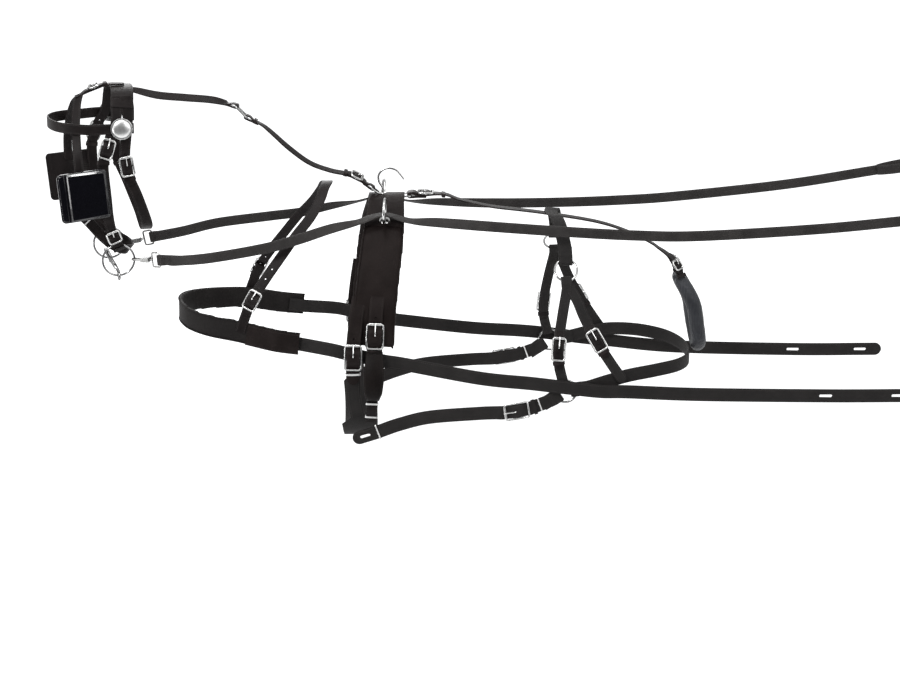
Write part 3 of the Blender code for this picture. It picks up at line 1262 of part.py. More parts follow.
def snap_start(mirror):
    """Return the ring's rearmost place, where the snap hooks on, and the snap's direction."""
    flip = Vector((1, -1, 1)) if mirror else Vector((1, 1, 1))
    start = HEAD @ (BIT_CENTRE_SHARES * SPAN * flip + Vector((BIT_RADIUS, 0, 0)))
    aim = Vector(rein_places(mirror)[1]) * SPAN * flip
    along = (aim - start).normalized()
    return start + along * (SNAP_HOOK_RADIUS - SNAP_WIRE - RING_WIRE - GAP * 2), along


for side, mirror in SIDES:
    flip = Vector((1, -1, 1)) if mirror else Vector((1, 1, 1))
    ring_place, snap_along = snap_start(mirror)
    places = rein_places(mirror)
    first = (ring_place + snap_along * SNAP_LENGTH) * flip / SPAN
    places[0] = tuple(first)
    faces = list(REIN_FACES)
    faces[0] = tuple(across(HEAD.to_3x3() @ (Vector((0, -1, 0)) * flip), snap_along) * flip)
    places.insert(1, tuple((ring_place + snap_along * (SNAP_LENGTH + SLIM)) * flip / SPAN))
    faces.insert(1, faces[0])
    rein = Route(places, faces, mirror=mirror, zones=((0, 0.0, SLIM * 0.7), (16, SLIM, 0.0)))
    rein_mesh = ribbon(rein, loop_reach(WIRE), rein.length, NARROW)
    rein_mesh = end_loop(rein, True, rein_mesh, NARROW, WIRE, 0.0)
    hand_place = rein.frame(rein.length)
    inner = []
    outer = []
    steps = 14
    grow_long = 1 + STRAP * 2 / HAND_LOOP_LENGTH
    grow_deep = 1 + STRAP * 2 / HAND_LOOP_DEPTH
    for k in range(steps):
        angle = math.tau * k / steps
        x = HAND_LOOP_LENGTH / 2 * (1 - math.cos(angle))
        z = HAND_LOOP_DEPTH / 2 * math.sin(angle)
        inner.append((x + STRAP / 2, z))
        outer.append((x * grow_long - STRAP / 2, z * grow_deep))
    rein_mesh = join(rein_mesh, hollow(hand_place, inner, outer, NARROW - GAP * 2))
    new_object("rein_" + side, rein_mesh, LEATHER)

# Snaps: an eye on the rein, a hook that swivels on it, and a sprung bolt.
# Shares run from the ring to the eye.
SNAP_BORE = 0.0023
SNAP_HALF_HEIGHT = 0.0042
HOOK_STEPS = 8


def pin(place, start, stop, radius, outward=0.0, sides=10):
    """Make a round pin along the frame's X axis, moved outward."""
    ends = [place @ Vector((x, 0, outward)) for x in (start, stop)]
    return wire(ends, radius, False, sides)


for side, mirror in SIDES:
    flip = Vector((1, -1, 1)) if mirror else Vector((1, 1, 1))
    start, along = snap_start(mirror)
    reach = SNAP_LENGTH
    out = across(HEAD.to_3x3() @ (Vector((0, -1, 0)) * flip), along)
    place = Matrix.Translation(start) @ Matrix((along, out.cross(along), out)).transposed().to_4x4()
    barrel_start = reach * 0.27
    barrel_stop = reach * 0.58
    eye_start = reach * 0.70
    hook_path = [(barrel_start + SNAP_WIRE, SNAP_HOOK_RADIUS * 0.8)]
    for k in range(HOOK_STEPS + 1):
        angle = math.pi * (0.5 + k / HOOK_STEPS)
        hook_path.append((math.cos(angle) * SNAP_HOOK_RADIUS, math.sin(angle) * SNAP_HOOK_RADIUS))
    tip = SNAP_HOOK_RADIUS * 1.1
    hook_path.append((tip, -SNAP_HOOK_RADIUS))
    points = [place @ Vector((x, 0, z)) for x, z in hook_path]
    hook_mesh = wire(points, SNAP_WIRE, False, WIRE_SIDES, place.to_3x3() @ Vector((0, 1, 0)))
    low = (barrel_start, -SNAP_HALF_HEIGHT, -SNAP_HOOK_RADIUS - SNAP_WIRE * 1.9)
    high = (barrel_stop, SNAP_HALF_HEIGHT, SNAP_HOOK_RADIUS * 1.15)
    hook_mesh = join(hook_mesh, block(place, low, high))
    bore_start = barrel_start - SNAP_WIRE
    bore_stop = barrel_stop + SNAP_WIRE
    bolt_bore = pin(place, bore_start, bore_stop, SNAP_WIRE + GAP, -SNAP_HOOK_RADIUS)
    hook_mesh = combine(hook_mesh, bolt_bore, "DIFFERENCE")
    swivel_bore = pin(place, reach * 0.42, barrel_stop + SNAP_WIRE, SNAP_BORE)
    hook_mesh = combine(hook_mesh, swivel_bore, "DIFFERENCE")
    middle = place @ Vector((barrel_stop, 0, 0))
    new_object("snap_hook_" + side, hook_mesh, CHROME, middle)

    bolt_stop = barrel_stop + SNAP_WIRE * 2.2
    bolt = pin(place, tip + GAP, bolt_stop, SNAP_WIRE * 0.8, -SNAP_HOOK_RADIUS, 8)
    knob = place @ Matrix.Translation((bolt_stop - SNAP_WIRE, 0, -SNAP_HOOK_RADIUS - SNAP_WIRE * 2.6))
    bolt = join(bolt, disc(knob, SNAP_WIRE * 0.95, SNAP_WIRE * 3.0, 8))
    new_object("snap_bolt_" + side, bolt, CHROME, place @ Vector((bolt_stop, 0, -SNAP_HOOK_RADIUS)))

    eye_half = (reach - eye_start) / 2
    eye_outline = rounded(eye_half * 2, NARROW + WIRE * 4.6, WIRE * 1.6, 2)
    eye_middle = (reach + eye_start) / 2
    points = [place @ Vector((eye_middle + x, y, 0)) for x, y in eye_outline]
    eye = wire(points, WIRE, True, WIRE_SIDES, out)
    shank = pin(place, reach * 0.42 + GAP, eye_start, SNAP_BORE - GAP * 1.4)
    new_object("snap_eye_" + side, join(eye, shank), CHROME)
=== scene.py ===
import math
from bisect import bisect_right

import bmesh
import bpy
from mathutils import Matrix, Vector


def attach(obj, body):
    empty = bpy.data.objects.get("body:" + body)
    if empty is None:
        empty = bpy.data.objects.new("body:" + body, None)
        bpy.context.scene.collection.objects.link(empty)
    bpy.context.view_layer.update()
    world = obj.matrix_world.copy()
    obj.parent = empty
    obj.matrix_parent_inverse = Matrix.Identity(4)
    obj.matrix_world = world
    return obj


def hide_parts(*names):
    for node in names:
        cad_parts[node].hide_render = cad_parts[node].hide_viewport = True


# The picture: a driving harness in the shape that it has when worn, seen from its near side and a little
# above, on a white studio floor that keeps a faint shadow. One main lamp, a fill and small lamps light it,
# and two black cards, which only mirrors see, darken its metal.
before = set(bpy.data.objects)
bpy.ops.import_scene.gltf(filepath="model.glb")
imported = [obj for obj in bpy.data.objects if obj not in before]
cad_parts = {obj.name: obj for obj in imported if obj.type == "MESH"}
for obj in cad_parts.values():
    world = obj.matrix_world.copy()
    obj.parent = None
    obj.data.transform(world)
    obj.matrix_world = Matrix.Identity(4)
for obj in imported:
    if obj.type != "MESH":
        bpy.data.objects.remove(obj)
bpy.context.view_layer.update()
camera_place = (-0.02521854, -4.05441712, 0.79955296)
camera_target = Vector((0.11636, 0.0, -0.28749))


def put_object(name, data):
    """Put an object with its data in the scene."""
    made = bpy.data.objects.new(name, data)
    bpy.context.collection.objects.link(made)
    return made


def mesh_object(name, bm, *looks):
    """Make an object of a finished shape, with its looks."""
    mesh = bpy.data.meshes.new(name)
    bm.to_mesh(mesh)
    bm.free()
    for look in looks:
        mesh.materials.append(look)
    return put_object(name, mesh)


def aim(name, data, place):
    """Put a camera or a lamp in its place, looking at the middle of the harness."""
    made = put_object(name, data)
    made.location = place
    made.rotation_euler = (camera_target - Vector(place)).to_track_quat("-Z", "Y").to_euler()
    return made


camera = bpy.data.cameras.new("camera")
camera.lens = 89.36
camera.sensor_width = 36.0
camera.clip_end = 60.0
bpy.context.scene.camera = aim("camera", camera, camera_place)
bpy.context.scene.view_settings.view_transform = "Standard"
for name, place, size, watts in (
    ("main_lamp", (-1.9, -3.4, 2.6), 1.2, 105), ("fill_lamp", (2.6, -2.6, 1.2), 2.2, 38),
    ("top_lamp", (-0.45, -0.35, 2.7), 0.7, 14), ("head_lamp", (-0.26, -0.58, 2.7), 0.4, 14),
    ("low_lamp", (-2.4, -0.72, -0.58), 0.45, 9), ("back_lamp", (-0.6, 3.2, 1.4), 1.8, 45),
):
    lamp = bpy.data.lights.new(name, "AREA")
    lamp.size = size
    lamp.energy = watts
    aim(name, lamp, place)


def feed(look, value, node, socket):
    """Link a value to a node's socket, or set it there."""
    if isinstance(value, bpy.types.NodeSocket):
        look.node_tree.links.new(value, node.inputs[socket])
    else:
        node.inputs[socket].default_value = value


def add_node(look, kind, sockets=None, **settings):
    """Add one node to a look, with its settings and what its sockets hold."""
    made = look.node_tree.nodes.new(kind)
    for key, value in settings.items():
        setattr(made, key, value)
    for key, value in (sockets or {}).items():
        feed(look, value, made, key)
    return made


def maths(look, kind, a, b=0.0):
    """Return one sum of two values."""
    return add_node(look, "ShaderNodeMath", {0: a, 1: b}, operation=kind).outputs[0]


def seen_share(look):
    """Return one where a camera, mirror or glass ray looks, and nothing for plain light."""
    rays = add_node(look, "ShaderNodeLightPath").outputs
    mirrors = maths(look, "ADD", rays["Is Camera Ray"], rays["Is Glossy Ray"])
    sockets = {0: mirrors, 1: rays["Is Transmission Ray"]}
    return add_node(look, "ShaderNodeMath", sockets, operation="ADD", use_clamp=True).outputs[0]


def new_look(name, rough, gloss, metal=0.0):
    """Start a look with its plain values on the shader's own sockets."""
    look = bpy.data.materials.new(name)
    look.use_nodes = True
    shader = look.node_tree.nodes["Principled BSDF"]
    for socket, value in (("Roughness", rough), ("Specular IOR Level", gloss), ("Metallic", metal)):
        shader.inputs[socket].default_value = value
    return look, shader


room = bpy.data.worlds.new("room")
room.use_nodes = True
bpy.context.scene.world = room
room_light = room.node_tree.nodes["Background"]
feed(room, (0.96, 0.98, 1.0, 1.0), room_light, "Color")
feed(room, 0.45, room_light, "Strength")
room_white = add_node(room, "ShaderNodeBackground", {"Color": (1, 1, 1, 1), "Strength": 1.0})
room_shaders = {0: seen_share(room), 1: room_light.outputs[0], 2: room_white.outputs[0]}
room_mix = add_node(room, "ShaderNodeMixShader", room_shaders)
feed(room, room_mix.outputs[0], room.node_tree.nodes["World Output"], "Surface")

floor_look, floor_shader = new_look("floor_white", 0.9, 0.0)
feed(floor_look, (0.86, 0.86, 0.86, 1.0), floor_shader, "Base Color")
feed(floor_look, (1.0, 1.0, 1.0, 1.0), floor_shader, "Emission Color")
floor_where = add_node(floor_look, "ShaderNodeTexCoord").outputs["Object"]
floor_far = add_node(floor_look, "ShaderNodeVectorMath", {0: floor_where}, operation="LENGTH")
fade_range = {
    "Value": floor_far.outputs["Value"], "From Min": 1.6, "From Max": 4.0, "To Min": 0.3, "To Max": 0.85,
}
floor_fade = add_node(floor_look, "ShaderNodeMapRange", fade_range, interpolation_type="SMOOTHSTEP")
floor_glow = maths(floor_look, "MULTIPLY", seen_share(floor_look), floor_fade.outputs[0])
feed(floor_look, floor_glow, floor_shader, "Emission Strength")

card_look, card_shader = new_look("card_black", 0.9, 0.0)
feed(card_look, (0.045, 0.045, 0.048, 1.0), card_shader, "Base Color")
card_clear = add_node(card_look, "ShaderNodeBsdfTransparent").outputs[0]
card_seen = add_node(card_look, "ShaderNodeLightPath").outputs["Is Glossy Ray"]
card_shaders = {0: card_seen, 1: card_clear, 2: card_shader.outputs[0]}
card_mix = add_node(card_look, "ShaderNodeMixShader", card_shaders)
feed(card_look, card_mix.outputs[0], card_look.node_tree.nodes["Material Output"], "Surface")

for name, place, size, turn, look in (
    ("floor", (0.0, 0.0, -0.86), (80.0, 80.0), 0.0, floor_look),
    ("standing_card", (0.0, -6.5, 1.6), (9.0, 5.0), -90.0, card_look),
    ("lying_card", (0.0, -4.4, -0.857), (9.0, 6.4), 0.0, card_look),
):
    bm = bmesh.new()
    bmesh.ops.create_grid(bm, x_segments=1, y_segments=1, size=0.5)
    bmesh.ops.scale(bm, verts=bm.verts, vec=(*size, 1.0))
    bmesh.ops.rotate(bm, verts=bm.verts, matrix=Matrix.Rotation(math.radians(turn), 3, "X"))
    bmesh.ops.translate(bm, verts=bm.verts, vec=place)
    mesh_object(name, bm, look)

# Crown piece: a wide leather band over the poll, cut into a cheek billet and a throat strap at each end.
# It is black bridle leather, edged, dyed and stitched along both sides; the billets have punched holes.
# Every strap below follows its line the same way: cut flat, its edges rubbed round, then laid in place.
worn = Matrix.Translation((-0.0035, 0.0, 0.017))
head = (
    worn
    @ Matrix.Translation((-0.475, 0.0, 0.19))
    @ Matrix.Rotation(math.radians(14.0), 4, "Z")
    @ Matrix.Rotation(math.radians(3.0), 4, "X")
)
gap = 0.0003
strap_thick = 0.0025
wide_strap = 0.025
narrow_strap = 0.019
slim_strap = 0.016
sample_step = 0.003
near_and_far = (("left", False), ("right", True))
flips = {False: Vector((1, 1, 1)), True: Vector((1, -1, 1))}
half_turn = Matrix.Rotation(math.pi, 4, "Z")


def curve_value(values, share):
    """Return the value at a share of one smooth piece between the two middle values."""
    a, b, c, d = values
    first = (c - a) * 0.5
    last = (d - b) * 0.5
    run = c - b
    return b + first * share + (run * 3 - first * 2 - last) * share**2 + (first + last - run * 2) * share**3


def held(share):
    """Return a share held between none and all."""
    return min(max(share, 0.0), 1.0)


def ease(share):
    """Return a share that starts and stops softly."""
    return (3 - 2 * held(share)) * held(share) ** 2


def square_to(vector, axis):
    """Return the unit part of a vector that stands square to an axis."""
    return (vector - axis * vector.dot(axis)).normalized()


def setting_at(place, along, across, out):
    """Return the setting with X along, Y across and Z outward."""
    return Matrix.Translation(place) @ Matrix((along, across, out)).transposed().to_4x4()


def raised(level):
    """Return the setting a level above another."""
    return Matrix.Translation((0.0, 0.0, level))


def read_rows(rows, both=False):
    """Return the places and outward sides of rows in millimetres; a row without a side keeps the last one."""
    places = [tuple(c / 1000 for c in row[:3]) for row in rows]
    facing = []
    for row in rows:
        facing.append(row[3:] or (facing or [(0, -1, 0)])[-1])
    if both:
        places, facing = ([*near, *((x, -y, z) for x, y, z in near[-2::-1])] for near in (places, facing))
    return places, facing


class StrapLine:
    """The line that a strap lies on, with its outward side; it is straight where metal sits on it."""

    def __init__(self, places, facing, setting=worn, straight=(), far=False, closed=False, even=False):
        points = [setting @ (Vector(p) * flips[far]) for p in places]
        looks = [setting.to_3x3() @ (Vector(f) * flips[far]) for f in facing]
        count = len(points)
        if closed:
            ring = [points[-1], *points, points[0], points[1]]
            sides = [looks[-1], *looks, looks[0], looks[1]]
        else:
            ring = [points[0] * 2 - points[1], *points, points[-1] * 2 - points[-2]]
            sides = [looks[0], *looks, looks[-1]]
        pieces = count if closed else count - 1
        dense = []
        starts = []
        for i in range(pieces):
            steps = max(4, int((ring[i + 2] - ring[i + 1]).length / sample_step))
            starts.append(len(dense))
            for share in (k / steps for k in range(steps)):
                side = sides[i + 1].lerp(sides[i + 2], share)
                dense.append((curve_value(ring[i : i + 4], share), side))
        starts.append(len(dense))
        dense.append((ring[pieces + 1].copy(), sides[pieces + 1]))
        lengths = [0.0]
        for a, b in zip(dense, dense[1:]):
            lengths.append(lengths[-1] + (b[0] - a[0]).length)
        self.marks = [lengths[m] for m in starts]
        self.length = lengths[-1]
        self.start = 0.0
        self.stop = self.length
        top = len(dense) - 1
        tangents = []
        for i in range(top + 1):
            tangents.append((dense[min(i + 1, top)][0] - dense[max(i - 1, 0)][0]).normalized())
        if closed:
            tangents[0] = tangents[-1] = (dense[1][0] - dense[-2][0]).normalized()
        normals = [square_to(d[1], t) for d, t in zip(dense, tangents)]
        rows = [[s, d[0], t, n] for s, d, t, n in zip(lengths, dense, tangents, normals)]
        spans = [(self.marks[m] - before, self.marks[m] + after) for m, before, after in straight]
        inside = [any(a <= s <= b for a, b in spans) for s in lengths]
        marked = [starts[m] for m, before, after in straight]
        i = 0
        while i <= top:
            if not inside[i]:
                i += 1
                continue
            stop = i
            while stop < top and inside[stop + 1]:
                stop += 1
            a, b = dense[i][0], dense[stop][0]
            along = (b - a).normalized()
            out = square_to(sum((normals[m] for m in marked if i <= m <= stop), Vector()), along)
            for k in range(i, stop + 1):
                share = (lengths[k] - lengths[i]) / (lengths[stop] - lengths[i])
                rows[k] = [lengths[k], a.lerp(b, share), along, out]
            i = stop + 1
        if even:
            over = setting @ Matrix.Diagonal((1, -1, 1, 1)) @ setting.inverted()
            swing = over.to_3x3()
            near = rows[: starts[count // 2]]
            middle = rows[starts[count // 2]]
            back = [[self.length - s, over @ p, -(swing @ t), swing @ n] for s, p, t, n in reversed(near)]
            rows = near + [middle] + back
        self.rows = rows
        self.keys = [r[0] for r in rows]

    def at(self, s):
        """Return the setting at a length: X along the strap, Y across it, Z outward."""
        i = min(max(bisect_right(self.keys, s), 1), len(self.rows) - 1)
        a, b = self.rows[i - 1], self.rows[i]
        share = (s - a[0]) / (b[0] - a[0])
        along = a[2].lerp(b[2], held(share)).normalized()
        out = square_to(a[3].lerp(b[3], held(share)), along)
        return setting_at(a[1].lerp(b[1], share), along, out.cross(along), out)

    def turn_back(self, at_start, wire, bend, width, tail=0.02):
        """Carry an end of the line round a ring's wire and back under the strap, as a sewn fold lies."""
        sign = -1 if at_start else 1
        half = wire + 0.0004 + strap_thick / 2
        under = strap_thick * 1.08
        inside = bend - wire
        sag = inside - math.sqrt(inside**2 - (width / 2) ** 2) if bend else 0.0
        front = sag + 0.0012
        rise = half * 3.2
        back = -half * 1.1
        reach = back - rise
        path = [(reach + rise * k / 8, half * ease(k / 8)) for k in range(9)]
        for angle in (math.pi * (0.5 - k / 12) for k in range(13)):
            path.append((front + math.cos(angle) * half, math.sin(angle) * half))
        for share in (k / 6 for k in range(1, 7)):
            path.append((back - rise * 0.8 * share, -half - (under - half) * ease(share)))
        path.append((back - rise * 0.8 - tail, -under))
        steps = [Vector((x, 0.0, z)) for x, z in path]
        edge = 0.0 if at_start else self.length
        place = self.at(edge) @ half_turn if at_start else self.at(edge)
        turn = place.to_3x3()
        s = edge + sign * reach
        kept = [r for r in self.rows if (r[0] - s) * sign < 0]
        here = self.at(s)
        fresh = [[s, here.to_translation(), here.to_3x3().col[0], here.to_3x3().col[2]]]
        for i in range(1, len(steps)):
            s += (steps[i] - steps[i - 1]).length * sign
            way = (steps[min(i + 1, len(steps) - 1)] - steps[i - 1]).normalized()
            out = Vector((-way.z, 0.0, way.x))
            fresh.append([s, place @ steps[i], turn @ way * sign, turn @ out])
        if at_start:
            self.rows = fresh[::-1] + kept
            self.start = s
        else:
            self.rows = kept + fresh
            self.stop = s
        self.keys = [r[0] for r in self.rows]

    def fold_ends(self, wire, bend, width, tail):
        """Turn both ends back."""
        self.turn_back(False, wire, bend, width, tail)
        self.turn_back(True, wire, bend, width, tail)


def strap_line(rows, setting=worn, straight=(), far=False, closed=False, both=False):
    """Return the line of a strap from its rows; for one on both sides, all is given for the near side."""
    places, facing = read_rows(rows, both)
    if both and closed:
        places.pop()
        facing.pop()
    if both:
        last = len(places) - 1
        straight = [*straight, *((last - m, after, before) for m, before, after in straight)]
    return StrapLine(places, facing, setting, straight, far, closed, both and not closed)


def punch(bm, holes, slots):
    """Punch round holes and long slots through a strap while it lies flat."""
    if not holes and not slots:
        return bm
    cutter = bmesh.new()
    cuts = [(s, y, radius * 2, radius * 2, 10) for s, y, radius in holes]
    cuts += [(s, 0.0, length, across, 16) for s, length, across in slots]
    for s, y, length, across, sides in cuts:
        made = bmesh.ops.create_cone(
            cutter, cap_ends=True, segments=sides, radius1=across / 2, radius2=across / 2, depth=0.03,
        )
        for v in made["verts"]:
            v.co.x += math.copysign((length - across) / 2, v.co.x)
        bmesh.ops.translate(cutter, verts=made["verts"], vec=(s, y, 0.0))
    items = [mesh_object("flat", part) for part in (bm, cutter)]
    change = items[0].modifiers.new("punch", "BOOLEAN")
    change.operation = "DIFFERENCE"
    change.solver = "EXACT"
    change.object = items[1]
    punched = bmesh.new()
    punched.from_object(items[0], bpy.context.evaluated_depsgraph_get())
    for item in items:
        bpy.data.objects.remove(item)
    bmesh.ops.triangulate(punched, faces=[f for f in punched.faces if len(f.verts) > 4])
    return punched


def round_edges(bm, edges, offset, segments):
    """Rub edges round."""
    bmesh.ops.bevel(
        bm, geom=edges, offset=offset, affect="EDGES", segments=segments, profile=0.5, material=-1,
    )


def rule_of(value):
    """Return a rule of the strap's length for a plain value."""
    return value if callable(value) else lambda s: value


def cut_strap(
    line, start, stop, width, thick=strap_thick, lift=0.0, tips=(), holes=(), slots=(), cuts=3, crown=0.0,
):
    """Cut a strap flat, rub its edges round, punch it, and lay it on its line, arched across by its crown."""
    width, thick, lift, crown = (rule_of(value) for value in (width, thick, lift, crown))
    full = max(width(stop), width(start))
    nominal = thick(0.5 * (start + stop))
    nose = full * 0.5
    stations = [start] + [k for k in line.keys if start + 0.0004 < k < stop - 0.0004] + [stop]
    edges = [edge for end, edge in (("start", start), ("stop", stop)) if end in tips]
    for edge in edges:
        sign = 1 if edge == start else -1
        stations += [edge + sign * nose * share for share in (0.02, 0.08, 0.17, 0.3, 0.46, 0.65, 0.82, 1.0)]
    stations.sort()
    kept = stations[:1]
    for s in stations[1:]:
        if s - kept[-1] > 0.00015:
            kept.append(s)
    count = len(kept) - 1
    bm = bmesh.new()
    bmesh.ops.create_cube(bm, size=1.0)
    bmesh.ops.scale(bm, verts=bm.verts, vec=(count, full, nominal))
    long_edges = [e for e in bm.edges if abs(e.verts[0].co.x - e.verts[1].co.x) > 0.5]
    round_edges(bm, long_edges, nominal * 0.32, 2)
    flat_edges = [e for e in bm.edges if abs(e.verts[0].co.y - e.verts[1].co.y) > full * 0.5]
    bmesh.ops.subdivide_edges(bm, edges=flat_edges, cuts=cuts, use_grid_fill=True)
    long_edges = [e for e in bm.edges if abs(e.verts[0].co.x - e.verts[1].co.x) > 0.5]
    bmesh.ops.subdivide_edges(bm, edges=long_edges, cuts=count - 1, use_grid_fill=True)
    for v in bm.verts:
        s = kept[min(max(int(round(v.co.x + count / 2)), 0), count)]
        share = 1.0
        for near in (abs(s - edge) for edge in edges):
            if near < nose:
                share = min(share, math.sqrt(max(1 - (1 - near / nose) ** 2, 0.02)))
        v.co = Vector((s, v.co.y * (width(s) / full) * share, v.co.z * (thick(s) / nominal)))
    bm = punch(bm, holes, slots)
    lay = bm.verts.layers.float_vector.new("lay")
    for v in bm.verts:
        s, y, z = v.co
        half = width(s) / 2
        v[lay] = (s, y, half - abs(y))
        v.co = line.at(s) @ Vector((0.0, y, z + (lift(s) + crown(s) * (1 - (y / half) ** 2))))
    return bm


def whole_strap(line, width, *sizes, **shape):
    """Cut a strap as long as its line."""
    return cut_strap(line, line.start, line.stop, width, *sizes, **shape)


def gather(shapes):
    """Put several shapes into one."""
    whole = bmesh.new()
    for shape in shapes:
        mesh = bpy.data.meshes.new("shape")
        shape.to_mesh(mesh)
        shape.free()
        whole.from_mesh(mesh)
        bpy.data.meshes.remove(mesh)
    return whole


def set_piece(name, shapes, look, node=None, body="harness", sharp=40.0):
    """Make a named piece of one or more shapes, let it ride on its body, and give the node it stands for."""
    bm = gather(shapes)
    bmesh.ops.recalc_face_normals(bm, faces=bm.faces)
    piece = mesh_object(name, bm, look)
    piece.data.shade_smooth()
    piece.data.set_sharp_from_angle(angle=math.radians(sharp))
    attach(piece, body)
    if node:
        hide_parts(node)
    return piece


def place_in(look):
    """Return the place on the object that a look paints."""
    return add_node(look, "ShaderNodeTexCoord").outputs["Object"]


def lay_of(look):
    """Return a strap's own coordinates: all three, then along it, across it, and in from its edge."""
    lay = add_node(look, "ShaderNodeAttribute", attribute_name="lay").outputs["Vector"]
    return lay, *add_node(look, "ShaderNodeSeparateXYZ", {0: lay}).outputs


def scaled(look, vector, scale):
    """Return a vector times three scales."""
    return add_node(look, "ShaderNodeVectorMath", {0: vector, 1: scale}, operation="MULTIPLY").outputs[0]


def noise_of(look, vector, scale, detail=3.0):
    """Return a noise value that changes a given number of times in a metre."""
    sockets = {"Vector": vector, "Scale": scale, "Detail": detail}
    return add_node(look, "ShaderNodeTexNoise", sockets).outputs["Fac"]


def between(look, value, low, high):
    """Return where a value lies between two others, from zero to one."""
    sockets = {"Value": value, "From Min": low, "From Max": high}
    return add_node(look, "ShaderNodeMapRange", sockets, interpolation_type="SMOOTHSTEP").outputs[0]


def two_tone(look, share, first, second):
    """Return a colour between two, by a share."""
    mix = add_node(look, "ShaderNodeMix", {0: share}, data_type="RGBA")
    for socket, colour in ((6, first), (7, second)):
        feed(look, (*colour, 1.0) if isinstance(colour, tuple) else colour, mix, socket)
    return mix.outputs[2]


def finish(look, shader, tone, dull, low, high, bumps):
    """Give a look its colour, a roughness between two values, and its bumps, the lowest layer first."""
    feed(look, tone, shader, "Base Color")
    sockets = {"Value": dull, "To Min": low, "To Max": high}
    feed(look, add_node(look, "ShaderNodeMapRange", sockets).outputs[0], shader, "Roughness")
    below = {}
    for height, depth in bumps:
        sockets = {"Height": height, "Distance": depth, "Strength": 1.0, **below}
        below = {"Normal": add_node(look, "ShaderNodeBump", sockets).outputs[0]}
    feed(look, below["Normal"], shader, "Normal")
    return look


def distance(look, value, middle):
    """Return how far a value is from a middle one."""
    return maths(look, "ABSOLUTE", maths(look, "SUBTRACT", value, middle))


def stitch_share(look, along, inset, row=0.0024, pitch=0.0042):
    """Return where thread shows: short stitches in a row that keeps its distance from the edge."""
    in_row = between(look, distance(look, inset, row), 0.00055, 0.00025)
    beat = distance(look, maths(look, "FRACT", maths(look, "DIVIDE", along, pitch)), 0.5)
    return maths(look, "MULTIPLY", in_row, between(look, beat, 0.36, 0.28))


def strap_leather(name, colour, worn_colour, thread, rough=0.44, gloss=0.11):
    """Black bridle leather: fine grain, soft creases, thread near both edges, and a paler edge that is partly
    rubbed wear and partly a painted highlight.
    """
    look, shader = new_look(name, rough, gloss)
    lay, along, across, inset = lay_of(look)
    where = place_in(look)
    cloudy = noise_of(look, where, 34.0, 4.0)
    grain = noise_of(look, where, 1500.0, 2.0)
    creases = noise_of(look, scaled(look, lay, (260.0, 60.0, 0.0)), 1.0, 4.0)
    tone = two_tone(look, between(look, cloudy, 0.3, 0.72), colour, worn_colour)
    # Paler along the edges: partly rubbed wear, partly a painted edge highlight.
    worn_edge_and_highlight = maths(look, "MULTIPLY", between(look, inset, 0.0009, 0.0002), between(look, cloudy, 0.4, 0.65))
    tone = two_tone(look, worn_edge_and_highlight, tone, tuple(c * 1.7 for c in worn_colour))
    stitched = stitch_share(look, along, inset)
    tone = two_tone(look, stitched, tone, thread)
    pressed = between(look, distance(look, inset, 0.0024), 0.0, 0.0007)
    bumps = [(grain, 0.00012), (creases, 0.0003), (maths(look, "ADD", pressed, stitched), 0.00025)]
    return finish(look, shader, tone, cloudy, rough - 0.08, rough + 0.12, bumps)


black_leather = strap_leather(
    "black_leather", (0.0075, 0.0058, 0.0058), (0.0125, 0.0098, 0.0096), (0.03, 0.026, 0.025),
)

buckle_wire = 0.00175
buckle_room = 0.9
fold_in = (buckle_wire + gap) / math.cos(math.pi / 6)
fold_out = fold_in + strap_thick
tab_level = strap_thick / 2 - fold_out + gap * 0.2
billet_level = tab_level + strap_thick + gap
rim_level = billet_level + strap_thick / 2 + gap + buckle_wire
billet_hump = fold_out + gap + strap_thick / 2 - billet_level
narrow_reach = narrow_strap * buckle_room + buckle_wire * 2
wide_reach = wide_strap * buckle_room + buckle_wire * 2


def billet_rise(at, width, low=billet_level, hump=billet_hump):
    """Return the rule of a billet's height as it rises over a buckle's middle bar."""
    reach = width * buckle_room - buckle_wire

    def rule(s):
        share = min(abs(s - at) / reach, 1.0)
        flat = max(share - 0.28, 0.0) / 0.72
        return low + hump * (1 + math.cos(math.pi * flat)) / 2

    return rule


cheek_rows = [
    (-18.5, -49, -8, 0, -1, 0.3), (-22.5, -66.5, -50, 0, -1, 0.25), (-33.5, -75, -71, 0, -1, 0.15),
    (-43, -79, -92.5, 0, -1, 0.1), (-49, -84, -124, 0, -1, 0), (-45.5, -85, -180),
    (-42, -78, -222, 0, -1, -0.1), (-33.8, -62.5, -258, 0, -1, 0), (-26.2, -62, -275.2),
]
crown_rows = [
    (-8.8, -55, -20.5, 0, -1, 0.3), (-6.8, -46, -6, 0, -1, 1), (-4, -25, 3, 0, -0.3, 1),
    (-2, 0, 5.5, 0, 0, 1),
]
rear_rows = [(-0.6, -50, -8, 0, -1, 0.3), (1.4, -60, -40), (1.4, -65.5, -55)]
crown_width = 0.04
crown_line = strap_line(crown_rows, head, both=True)
crown_shapes = [cut_strap(crown_line, -0.003, crown_line.length + 0.003, crown_width, strap_thick * 1.3)]


def rear_wide(s):
    """Return the rear end's width, which narrows to the throatlatch."""
    return slim_strap + 0.0085 * min(1.0, 1.5 - s / 0.036)


